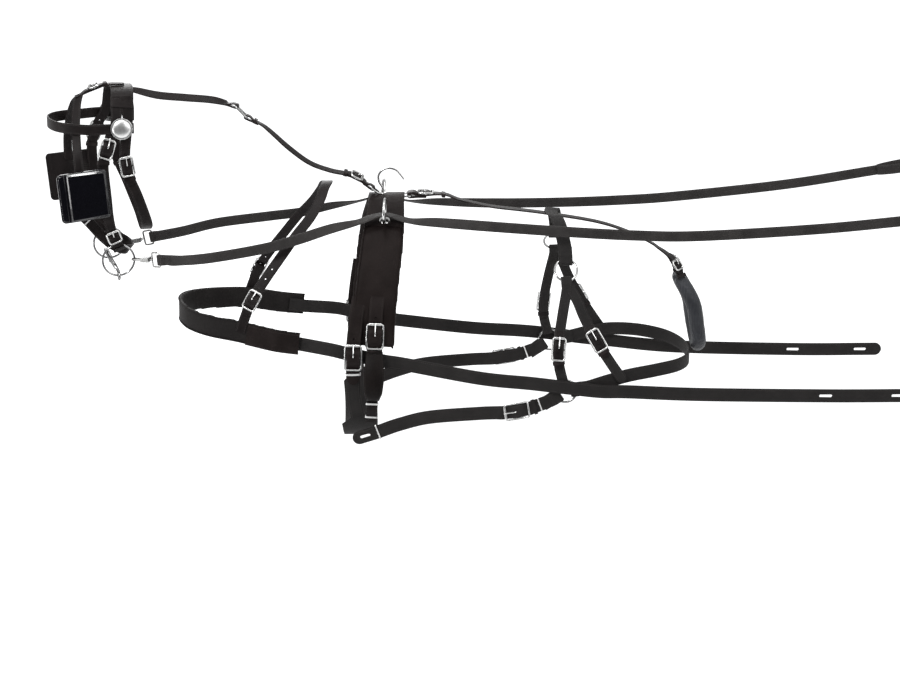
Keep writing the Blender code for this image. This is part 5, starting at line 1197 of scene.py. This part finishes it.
girth_line = strap_line(girth_rows, straight=((3, wide_reach, wide_reach),), both=True)
girth_marks = {"left": girth_line.marks[3], "right": girth_line.marks[15]}
tug_lines = {}
billet_shapes = []
for side, far in near_and_far:
    line = strap_line(tug_rows, straight=((2, wide_reach, wide_reach), (4, tug_loop_length, 0.0)), far=far)
    tug_lines[side] = line
    at = line.marks[2]
    billet_shapes.append(cut_strap(
        line, 0.0, at + wide_reach, wide_strap, lift=billet_rise(at, wide_strap), tips=("stop",),
        holes=[(at - 0.034, 0.0, 0.0015), (at - 0.005, 0.0, 0.0018)],
    ))
    at = girth_marks[side]
    start, stop, tip = 0.0, at + wide_reach + wide_strap, "stop"
    if far:
        start, stop, tip = at - wide_reach - wide_strap, girth_line.length, "start"
    billet_shapes.append(cut_strap(
        girth_line, start, stop, wide_strap, lift=billet_rise(at, wide_strap), tips=(tip,),
        holes=[(at + k * (-1 if far else 1), 0.0, 0.0015) for k in (-0.034, -0.005, 0.033)],
    ))
set_piece("saddle_billets", billet_shapes, saddle_leather)
dee_place = worn @ Matrix.Translation((0.0355, 0.0, -0.009))
dee = bent_frame(dee_place, 0.024, wide_strap + buckle_wire * 5, buckle_wire * 2.6)
set_piece("saddle_dee", [dee], ring_nickel_shaded)


def disc(place, low, high, depth):
    """Turn a round foot that narrows upward."""
    bm = bmesh.new()
    bmesh.ops.create_cone(
        bm, cap_ends=True, segments=28, radius1=low, radius2=high, depth=depth, matrix=place,
    )
    return bm


terret_radius = 0.0212
terret_wire = 0.0025
terret_height = pad_thick / 2 + gap + terret_wire * 2.3 + terret_radius
for side, share in (("left", 0.37), ("right", 1 - 0.37)):
    foot = saddle_line.at(saddle_line.length * share)
    place = foot @ raised(terret_height) @ Matrix.Rotation(math.pi / 2, 4, "X")
    post = [place @ Vector((0, -terret_radius - terret_wire * k, 0)) for k in (0.2, 0.9, 1.5, 2.2)]
    shapes = [
        bend_ring(place, terret_radius, terret_wire),
        draw_wire(post, terret_wire * 1.1, sides=14, ends=(1.0, 1.25)),
        disc(foot @ raised(pad_thick / 2 + 0.0037), 0.0095, 0.0062, 0.0026),
    ]
    set_piece("terret_ring_" + side, shapes, nickel, "terret_" + side)

hook_rows = [
    (-4, 0, -5), (-5, 0, 6), (-10.5, 0, 15), (-12, 0, 26), (-7, 0, 35), (2, 0, 40), (13, 0, 40), (22, 0, 36),
    (29, 0, 28), (35, 0, 20),
]
front_dee_rows = [
    (-6, -7, -5.2), (-14, -11, -3), (-22, -11.5, 3.5), (-23.5, -10, 5), (-23.5, 10, 5), (-22, 11.5, 3.5),
    (-14, 11, -3), (-6, 7, -5.2),
]
hook_path = smooth_path([worn @ Vector(p) for p in read_rows(hook_rows)[0]])
front_dee = [worn @ Vector(p) for p in read_rows(front_dee_rows)[0]]
hook_foot = worn @ Matrix.Translation((-0.004, 0.0, -0.0066 + strap_thick / 2))
hook_shapes = [
    draw_wire(hook_path, buckle_wire, up=sideways, ends=(1.25, 0.8)), draw_wire(front_dee, buckle_wire),
    disc(hook_foot, slim_strap * 0.6, slim_strap * 0.42, strap_thick),
]
set_piece("check_hook_wire", hook_shapes, ring_nickel_shaded, "check_hook")

# Tugs: each hangs from the saddle's billet by a buckle, and its lower end is an open loop for a shaft,
# of doubled leather sewn to a stiff round. Below it a short strap with two bars ties it to the girth.
tie_rows = [
    (-26.2, -172, -330), (-26.4, -172, -348), (-27.2, -174, -366, 0, -1, -0.2),
    (-28.4, -170, -383, 0, -1, -0.4), (-30, -163.5, -396, 0, -1, -0.5),
]
tie_width = slim_strap * 1.25
# The tug leather is a darker copy of the black leather: painted shade holding down the top light on the loop.
tug_leather_shaded = strap_leather(
    "tug_leather_shaded", (0.0052, 0.004, 0.0038), (0.0085, 0.0066, 0.0062), (0.02, 0.017, 0.016), 0.42, 0.07,
)


def loose_tongue(name, node, place, width):
    """Set the tongue that lifts on its own, with its eye round the buckle's bar."""
    set_piece(name, buckle_tongue(place, width, low=fold_in * 1.25, eye=True), nickel, node, node)


for side, far in near_and_far:
    line = tug_lines[side]
    at = line.marks[2]
    place = line.at(at)
    shapes = [cut_strap(line, at, line.length - tug_loop_length * 0.93, wide_strap, lift=tab_level)]
    shapes.append(tab_roll(place, wide_strap))
    places = []
    for angle in (math.tau * k / 44 for k in range(44)):
        x = -math.cos(angle)
        z = tab_level + strap_thick * 0.4 + strap_thick * 0.4 * math.sin(angle)
        if math.sin(angle) >= 0:
            bulge = 0.55 + 0.45 * (0.5 + 0.5 * x)
            z = tab_level + strap_thick * 0.9 + tug_loop_depth * math.sin(angle) * bulge
        places.append((x * tug_loop_length * 0.5 * 0.94, 0.0, z))
    facing = [(x, 0.0, 0.8 if z > 0.004 else -1.0) for x, y, z in places]
    loop_line = StrapLine(places, facing, line.at(line.length - tug_loop_length * 0.5), closed=True)
    around = loop_line.length

    def loop_wide(s):
        """Return the loop's width, which swells along its outer side."""
        share = abs(s / around - 0.5) * 2
        if share < 0.2:
            return curve_value((0.03, 0.02, 0.032, 0.036), share / 0.2)
        if share < 0.5:
            return curve_value((0.024, 0.032, 0.037, 0.036), (share - 0.2) / 0.3)
        return curve_value((0.033, 0.037, 0.03, 0.029), (share - 0.5) / 0.5)

    shapes.append(whole_strap(
        loop_line, loop_wide, strap_thick * 1.15, cuts=9,
        crown=lambda s: 0.0034 * max(math.sin(math.pi * min(s / around / 0.54, 1.0)), 0.0),
    ))
    set_piece("tug_strap_" + side, shapes, tug_leather_shaded, "tug_" + side)
    set_piece("tug_frame_" + side, buckle_rim(place, wide_strap), nickel, "tug_buckle_" + side)
    loose_tongue("tug_pin_" + side, "tug_tongue_" + side, place, wide_strap)
    keep = keeper(line, at + wide_strap * 1.02, wide_strap, wide=0.008, thick=0.0012, **billet_keep)
    set_piece("tug_keeper_" + side, [keep], black_leather)
    tie_line = strap_line(tie_rows, far=far)
    set_piece("tug_tie_" + side, [whole_strap(tie_line, tie_width)], black_leather)
    spots = (tie_line.marks[2] - 0.006, tie_line.marks[3] + 0.002)
    bars = [keeper(tie_line, s, tie_width, 1.1, 0.0032, 0.0013) for s in spots]
    set_piece("tug_tie_bars_" + side, bars, bar_nickel_lit)

# Girth: a strap of woven webbing under the belly that flares to a wide band between its two buckles. Its
# ends are rolled round the buckles' bars, and the saddle's billets come down through the frames.


def strap_webbing(name, colour, pale, thread, pitch=0.0021):
    """Nylon webbing: ribs across, crossed by the warp, with painted shade in the hollows of the weave,
    stitched edges and paler rubbed threads.
    """
    look, shader = new_look(name, 0.62, 0.09)
    lay, along, across, inset = lay_of(look)
    cloudy = noise_of(look, place_in(look), 30.0, 4.0)
    threads = noise_of(look, scaled(look, lay, (500.0, 2400.0, 0.0)), 1.0, 2.0)
    turn = math.tau / pitch
    rib = maths(look, "SINE", maths(look, "MULTIPLY", along, turn))
    warp = maths(look, "SINE", maths(look, "MULTIPLY", across, turn * 0.9))
    weave = maths(look, "MULTIPLY", rib, warp)
    paler = maths(look, "MULTIPLY", between(look, threads, 0.45, 0.75), 0.5)
    # Painted shade: darker where the weave sinks, in its hollows.
    groove_shade = maths(look, "MULTIPLY", between(look, weave, 0.1, -0.9), 0.35)
    stitched = stitch_share(look, along, inset, 0.003, 0.0038)
    tone = two_tone(look, between(look, cloudy, 0.3, 0.75), colour, pale)
    tone = two_tone(look, paler, tone, tuple(c * 1.6 for c in pale))
    tone = two_tone(look, groove_shade, tone, (0.006, 0.006, 0.006))
    tone = two_tone(look, stitched, tone, thread)
    bumps = [(weave, 0.00016), (threads, 0.00008), (stitched, 0.00025)]
    return finish(look, shader, tone, cloudy, 0.55, 0.75, bumps)


webbing = strap_webbing(
    "webbing_black", (0.0155, 0.0143, 0.014), (0.0215, 0.0198, 0.0193), (0.036, 0.033, 0.032),
)
girth_width = 0.062
left_at, right_at = girth_marks["left"], girth_marks["right"]


def girth_wide(s):
    """Return the girth's width, which flares between its buckles."""
    share = 1 - abs(s - girth_line.length / 2) / ((right_at - left_at) / 2)
    return wide_strap + (girth_width - wide_strap) * held((share - 0.4) / 0.06)


girth_spots = {"left": girth_line.at(left_at), "right": girth_line.at(right_at) @ half_turn}
girth_shapes = [cut_strap(girth_line, left_at, right_at, girth_wide, lift=tab_level, cuts=7)]
girth_shapes += [tab_roll(place, wide_strap) for place in girth_spots.values()]
set_piece("girth_band", girth_shapes, webbing, "girth")
for side, shift in (("left", wide_strap * 1.28), ("right", -wide_strap * 1.28)):
    place = girth_spots[side]
    metal = buckle_rim(place, wide_strap) + buckle_tongue(place, wide_strap)
    set_piece("girth_frame_" + side, metal, nickel, "girth_buckle_" + side)
    band = keeper(girth_line, girth_marks[side] + shift, wide_strap, wide=0.0035, thick=0.0013, **billet_keep)
    set_piece("girth_keeper_" + side, [band], bar_nickel_lit)

# Breast collar: a padded band round the breast, covered in leather cloth over felt, with a leather flap and
# a sewn tab on each side for the neck strap, which goes over the neck between two buckles with loose
# tongues.
collar_rows = [
    (-157.1, -150, -251.3, -0.1, -1, 0), (-201.4, -144, -245.8, -0.15, -1, 0),
    (-265, -131, -233.1, -0.3, -1, 0), (-320, -108, -227.5, -0.6, -1, 0), (-356, -77, -223, -1, -0.75, 0),
    (-375, -40, -219, -1, -0.35, 0), (-381.7, 0, -218, -1, 0, 0),
]
neck_rows = [
    (-265, -140, -233, -0.2, -1, 0.1), (-256, -140, -206), (-242, -137, -174, -0.2, -1, 0.2),
    (-212.6, -125, -130.6, -0.2, -1, 0.25), (-190.8, -114, -101.5, -0.2, -1, 0.35),
    (-163.6, -99, -65.8, -0.2, -1, 0.5), (-136.5, -80, -34.5, -0.1, -1, 0.7), (-119, -56, -7, -0.1, -1, 1),
    (-111.6, -30, 10, 0, -0.6, 1), (-105.4, 0, 17.5, 0, 0, 1),
]
collar_thick = 0.008
collar_width = 0.042
collar_line = strap_line(collar_rows, both=True)
neck_line = strap_line(neck_rows, straight=((2, narrow_reach, narrow_reach),), both=True)


def collar_deep(s):
    """Return the collar's thickness, which thins at its ends."""
    end = strap_thick * 1.6
    return end + (collar_thick - end) * held(min(s, collar_line.length - s) / collar_width)


collar_face = pad_cloth("collar_face", (0.0095, 0.0082, 0.008), (0.0145, 0.0128, 0.0122), 0.6, 0.09, 900.0)
collar_shape = cut_strap(
    collar_line, 0.001, collar_line.length - 0.001, collar_width,
    lambda s: max(collar_deep(s) - 0.0018, 0.0036), cuts=7,
)
stuff_pad(collar_shape, "collar_padding", collar_face, 0.0014, 0.0034)
collar_trim = piping(collar_line, collar_width, collar_deep, 0.0024, 0.001, 0.0013, 110)
set_piece("collar_piping", collar_trim, collar_face)
flap_length = collar_line.marks[2] - 0.014
flaps = []
for start, stop in ((0.0008, flap_length), (collar_line.length - flap_length, collar_line.length - 0.0008)):
    flap = cut_strap(
        collar_line, start, stop, collar_width - 0.0036, 0.002, lambda s: collar_deep(s) / 2 + 0.0009,
        cuts=5,
    )
    bmesh.ops.translate(flap, verts=flap.verts, vec=(0.0, 0.0, -0.0016))
    flaps.append(flap)
neck_left, neck_right = neck_line.marks[2], neck_line.marks[16]
neck_spots = {"left": neck_line.at(neck_left) @ half_turn, "right": neck_line.at(neck_right)}
tab_ends = ((0.0, neck_left), (neck_right, neck_line.length))
tab_shapes = [cut_strap(neck_line, start, stop, narrow_strap, lift=tab_level) for start, stop in tab_ends]
tab_shapes += [tab_roll(place, narrow_strap) for place in neck_spots.values()]
set_piece("collar_tabs", tab_shapes, black_leather, "breast_collar")
set_piece("collar_flaps", flaps, saddle_leather)


def neck_rise(s):
    """Return the neck strap's height, which rises at both buckles."""
    return billet_rise(neck_left if s < neck_line.length / 2 else neck_right, narrow_strap)(s)


neck_holes = []
for at, sign in ((neck_left, 1), (neck_right, -1)):
    neck_holes += [(at + sign * k, 0.0, 0.0014) for k in (0.005, 0.025, 0.046, 0.067)]
neck_strap = cut_strap(
    neck_line, neck_left - narrow_reach * 1.5, neck_right + narrow_reach * 1.5, narrow_strap, lift=neck_rise,
    tips=("start", "stop"), holes=neck_holes,
)
set_piece("neck_billet_strap", [neck_strap], black_leather, "neck_strap")
for side, place in neck_spots.items():
    set_piece("neck_frame_" + side, buckle_rim(place, narrow_strap), nickel, "neck_buckle_" + side)
    loose_tongue("neck_pin_" + side, "neck_tongue_" + side, place, narrow_strap)

# Traces: long webbing straps sewn into the ends of the breast collar; each has two slots near its rear end
# for the vehicle's hook.
trace_rows = [
    (-185, -139.5, -250), (-157.1, -144, -254), (-101, -158, -261.6), (-71.5, -162, -268),
    (-7.3, -161, -282.6), (32.6, -162, -289.2), (167.5, -183, -310.6), (260, -191.5, -319),
    (320, -194.8, -326), (384.2, -192.5, -334.6), (435.6, -184, -338.4), (568.8, -170, -348.8),
    (800, -165, -355.1), (933, -165, -356), (975, -165, -356),
]
slot_length = 0.024
slot_width = 0.0055
for side, far in near_and_far:
    line = strap_line(trace_rows, far=far)
    slots = [(line.marks[m], slot_length, slot_width) for m in (12, 13)]
    shape = whole_strap(line, wide_strap, tips=("stop",), slots=slots)
    set_piece("trace_strap_" + side, [shape], webbing, "trace_" + side)

# Back strap: a leather strap from the saddle's dee, round which its end is folded, along the back to a fork
# over the dock, with a buckle behind the saddle and one on each branch of the fork for the crupper.
back_rows = [
    (47.5, 0, -9, 0, 0, 1), (75, 0, -9), (110.6, 0, -11), (134.7, 0, -17.8), (193.9, 0, -31.4),
    (253.2, 0, -39), (299.7, 0, -45.5), (389.1, 0, -61.1), (447.2, 0, -79.5), (492.5, 0, -101.7),
    (524.9, 0, -124.4),
]
fork_rows = [
    (500, -8.6, -106.5, 0.5, 0, 1), (524.9, -11.5, -124.4, 0.6, -0.3, 1), (540, -17, -144, 0.7, -0.8, 0.8),
    (550, -24, -164, 0.5, -1, 0.5),
]
end_hold = wide_strap * 0.6
back_line = strap_line(back_rows, straight=((0, 0.0, end_hold), (1, end_hold, end_hold)))
crossing = back_line.at(back_line.marks[6] + 0.0083)
back_line.turn_back(True, buckle_wire, 0.0, wide_strap, 0.016)


def back_level(s):
    """Return the back strap's height as it rises a little behind the saddle."""
    share = (s - back_line.marks[1]) / (back_line.marks[3] - back_line.marks[1])
    return math.sin(math.pi * held(share)) * strap_thick


back_holes = [(back_line.marks[9] - 0.012, 0.0, 0.0016)]
back_shapes = [whole_strap(back_line, wide_strap, lift=back_level, tips=("stop",), holes=back_holes)]
fork_lines = {}
for side, far in near_and_far:
    line = strap_line(fork_rows, straight=((2, slim_strap * 0.5, slim_strap * 0.5),), far=far)
    fork_lines[side] = line
    lift = gap * (2 if far else 1)
    back_shapes.append(whole_strap(line, slim_strap, lift=lift, tips=("stop",)))
set_piece("back_strap_leather", back_shapes, black_leather, "back_strap")
at = back_line.marks[1]
buckle_on(back_line, at, wide_strap, "back_buckle", black_leather, 0.6, lap=1.3, holes=False)
for side, line in fork_lines.items():
    name = "fork_buckle_" + side
    buckle_on(line, line.marks[2], slim_strap, name, black_leather, 0.62, lap=1.15, holes=False)

# Crupper: a smooth stuffed roll that passes under the dock, sewn in soft blue-black leather, with a seam
# down its outer side.
crupper_rows = [
    (544.5, -15, -165.5, 1, 0, 0.2), (558, -24, -185), (573, -32, -215), (580, -32, -255), (585, -23, -283),
    (586.6, 0, -297),
]
crupper_radius = 0.0155
crupper_neck = 0.0115
crupper_line = strap_line(crupper_rows, both=True)
crupper_blue = pad_cloth(
    "crupper_blue", (0.019, 0.0203, 0.024), (0.038, 0.0395, 0.045), 0.42, 0.24, 500.0,
    (330.0, 330.0, 26.0), 0.0026,
)


def crupper_round(s):
    """Return the roll's radius, which narrows to its ends."""
    end = min(s, crupper_line.length - s) / crupper_line.length
    return crupper_neck + (crupper_radius - crupper_neck) * held(end / 0.06)


settings = []
for s in (crupper_line.length * k / 70 for k in range(71)):
    turned = crupper_line.at(s) @ Matrix.Rotation(math.pi / 2, 4, "Y")
    settings.append(turned @ Matrix.Scale(crupper_round(s) - 0.0008, 4))
roll = sweep(settings, 1.0, 18)
stuff_pad(roll, "crupper_roll", crupper_blue, 0.001, 0.004, "crupper")
seam = []
for s in (crupper_line.length * (0.06 + 0.88 * k / 60) for k in range(61)):
    seam.append(crupper_line.at(s) @ Vector((0.0, crupper_round(s) * 0.55, crupper_round(s) * 0.83)))
set_piece("crupper_seam", [draw_wire(seam, 0.0009, sides=6)], crupper_blue)

# Breeching: a webbing strap over the hips to a ring on each side, from which two straps hang to carry the
# seat, the broad strap behind the thighs; two more rings join the seat to the holdbacks that run forward.
# Strap ends are folded round the rings and sewn.
hip_rows = [
    (325.2, -116, -108, 0, -0.84, 0.54), (325.2, -106.2, -93), (322.5, -93, -76, 0, -0.8, 0.8),
    (318, -70, -55, 0, -0.6, 1), (313.1, -40, -44, 0.1, -0.25, 1),
]
front_drop_rows = [
    (325.2, -138.2, -142.4, 0, -0.84, 0.54), (325.2, -147.4, -156.8, 0, -0.88, 0.45),
    (317, -162, -200, 0, -1, 0.3), (309.5, -174, -248, 0, -1, 0.2), (309, -181.5, -278, 0, -1, 0.1),
    (312.5, -184, -299, 0, -1, 0), (316.9, -184, -316.1),
]
rear_drop_rows = [
    (328, -143, -150, 0, -0.87, 0.5), (343, -154, -174, 0, -0.9, 0.4), (356, -164, -204, 0, -1, 0.3),
    (376, -174, -242, 0, -1, 0.2), (403, -180, -284, 0, -1, 0.1), (428, -181.2, -320, 0, -1, 0),
]
seat_rows = [
    (342.2, -184, -332.6), (362, -184, -329.3), (400, -179, -319, 0.1, -1, 0), (440, -170, -311, 0.3, -1, 0),
    (490, -148, -308, 0.6, -1, 0), (535, -110, -309, 1, -0.8, 0), (560, -60, -311, 1, -0.35, 0),
    (568, 0, -312, 1, 0, 0),
]
holdback_rows = [
    (304.5, -184, -346.8), (288.6, -184, -356), (234.4, -186, -372.6), (167.5, -186, -375.6),
    (77.1, -184, -382.5), (22.9, -182, -395.8), (-13.4, -181, -408.9), (-39.7, -180, -418.7),
    (-62.5, -179, -425),
]
ring_radius = 0.0205
start_hold = (0, 0.0, end_hold)
drop_hold = (3, narrow_reach, narrow_reach)
over = worn.inverted() @ (crossing @ Vector((0, 0, strap_thick + gap))) * 1000
up = crossing.to_3x3().col[2]
hip_rows += [(over.x, -strap_thick * 7000, over.z, *up), (over.x, 0, over.z)]
hip_line = strap_line(hip_rows, straight=(start_hold,), both=True)
hip_line.fold_ends(ring_wire, ring_radius, wide_strap, 0.012)
set_piece("hip_strap_webbing", [whole_strap(hip_line, wide_strap)], webbing, "hip_strap")

for side, far in near_and_far:
    place = facing_place((0.3252, -0.1271, -0.1252), (0, -0.84, 0.54), (0, 0.54, 0.84), far=far)
    hang_ring("hip_loop_" + side, "hip_ring_" + side, place, ring_radius, ring_nickel_shaded)
    place = facing_place((0.322, -0.184, -0.336), (0, -1, 0), (0, 0, 1), far=far)
    hang_ring("breeching_loop_" + side, "breeching_ring_" + side, place, ring_radius, ring_nickel_shaded)

    front = strap_line(front_drop_rows, straight=(start_hold, drop_hold, (6, end_hold, 0.0)), far=far)
    front.fold_ends(ring_wire, ring_radius, narrow_strap, 0.01)
    rear = strap_line(rear_drop_rows, straight=(drop_hold,), far=far)
    shapes = [whole_strap(front, narrow_strap), whole_strap(rear, narrow_strap, lift=gap * 2, tips=("stop",))]
    set_piece("hip_drop_straps_" + side, shapes, webbing, "hip_drop_" + side)
    for which, line, shift in (("front", front, 0.012), ("rear", rear, 0.003)):
        name = "drop_buckle_" + which + "_" + side
        buckle_on(line, line.marks[3] + shift, narrow_strap, name, black_leather, 1.17)

    holds = (start_hold, (2, wide_reach, wide_reach), (7, slot_length, slot_length))
    line = strap_line(holdback_rows, straight=holds, far=far)
    line.turn_back(True, ring_wire, ring_radius, wide_strap, 0.014)
    slots = [(line.marks[7], slot_length * 0.8, slot_width)]
    shape = whole_strap(line, wide_strap, tips=("stop",), slots=slots)
    set_piece("holdback_strap_" + side, [shape], webbing, "holdback_" + side)
    name = "holdback_buckle_" + side
    buckle_on(line, line.marks[2], wide_strap, name, webbing, 0.95, True, lap=1.5, holes=False)
    for which, s in (("rear", 0.032), ("front", line.marks[6] + 0.004)):
        bar = keeper(line, s, wide_strap, 1.1, 0.0024, 0.0012, room=0.001)
        set_piece("holdback_bar_" + which + "_" + side, [bar], bar_nickel_lit)

seat_line = strap_line(seat_rows, straight=(start_hold,), both=True)
seat_line.fold_ends(ring_wire, ring_radius, wide_strap, 0.012)
seat_shape = whole_strap(seat_line, wide_strap, strap_thick * 1.2)
set_piece("breeching_strap", [seat_shape], webbing, "breeching_seat")

# Reins: long leather straps from the snaps through the terrets, each with a hand loop sewn at its end. The
# far one is held a little higher at its two ends, and far_rein_rise says by how many millimetres.
rein_rows = [
    (-408, -64, -120), (-380, -78, -113), (-316.1, -120, -98.9, 0, -1, 0.05),
    (-218.8, -136, -79, 0, -1, 0.1), (-159.3, -125, -65.7, 0, -1, 0.2), (-100.2, -108, -50, 0, -0.8, 0.6),
    (-50.9, -98, -40, 0, -0.3, 1), (-4, -89, -28, 0, -0.1, 1), (45, -94, -39, 0, -0.3, 1),
    (100, -98, -42, 0, -0.8, 0.6), (204.5, -112, -48, 0, -1, 0.1), (327.7, -129, -54),
    (450.3, -142, -58.7, 0, -1, 0), (562.5, -155, -57.6), (775.2, -170, -43.2), (950, -176, -26),
]
far_rein_rise = [20, 22, 15, 4, 0, 0, 0, 0, 0, 0, 0, 3, 8.7, 12, 16.5, 25]
snap_length = 0.052
snap_wire = 0.0016
snap_hook_radius = 0.005
hand_loop_length = 0.15
hand_loop_depth = 0.04
rein_leather = strap_leather(
    "rein_leather", (0.024, 0.0222, 0.0216), (0.033, 0.0305, 0.0295), (0.045, 0.042, 0.041), 0.5,
)
for side, far in near_and_far:
    flip = flips[far]
    places, facing = read_rows(rein_rows)
    places = [Vector(p) for p in places]
    if far:
        places = [p + Vector((0, 0, rise / 1000)) for p, rise in zip(places, far_rein_rise)]
    start = worn.inverted() @ head @ (bit_centre * flip + Vector((bit_radius, 0, 0)))
    along = (places[1] * flip - start).normalized()
    ring_place = start + along * (snap_hook_radius - snap_wire - ring_wire - gap * 2)
    out = square_to(head.to_3x3() @ (Vector((0, -1, 0)) * flip), along)
    places[0] = (ring_place + along * snap_length) * flip
    places.insert(1, (ring_place + along * (snap_length + slim_strap)) * flip)
    facing = [out * flip, out * flip, *facing[1:]]
    line = StrapLine(places, facing, far=far, straight=((0, 0.0, slim_strap * 0.7), (16, slim_strap, 0.0)))
    hand_place = line.at(line.length)
    line.turn_back(True, buckle_wire, 0.0, narrow_strap, 0.03)
    middle = hand_loop_length / 2
    places = []
    for angle in (math.tau * k / 40 for k in range(40)):
        x = middle * (1 - math.cos(angle)) + strap_thick * 0.5
        places.append((x, 0.0, (hand_loop_depth / 2 + strap_thick / 2) * math.sin(angle)))
    facing = [(x - middle, 0.0, z * 14.0) for x, y, z in places]
    loop_line = StrapLine(places, facing, hand_place, closed=True)
    shapes = [whole_strap(line, narrow_strap), whole_strap(loop_line, narrow_strap - 0.0006)]
    set_piece("rein_strap_" + side, shapes, rein_leather, "rein_" + side)

# Snaps: a bolt snap joins each rein to its bit ring: a cast hook and barrel that swivel on an eye, and a
# sprung bolt with a thumb knob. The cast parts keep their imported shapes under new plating.
snap_plate = nickel_plate("snap_plate", (0.46, 0.46, 0.45), (0.08, 0.08, 0.08), 0.24)
for side, far in near_and_far:
    for part in ("snap_hook_", "snap_bolt_", "snap_eye_"):
        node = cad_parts[part + side]
        node.data.materials.clear()
        node.data.materials.append(snap_plate)
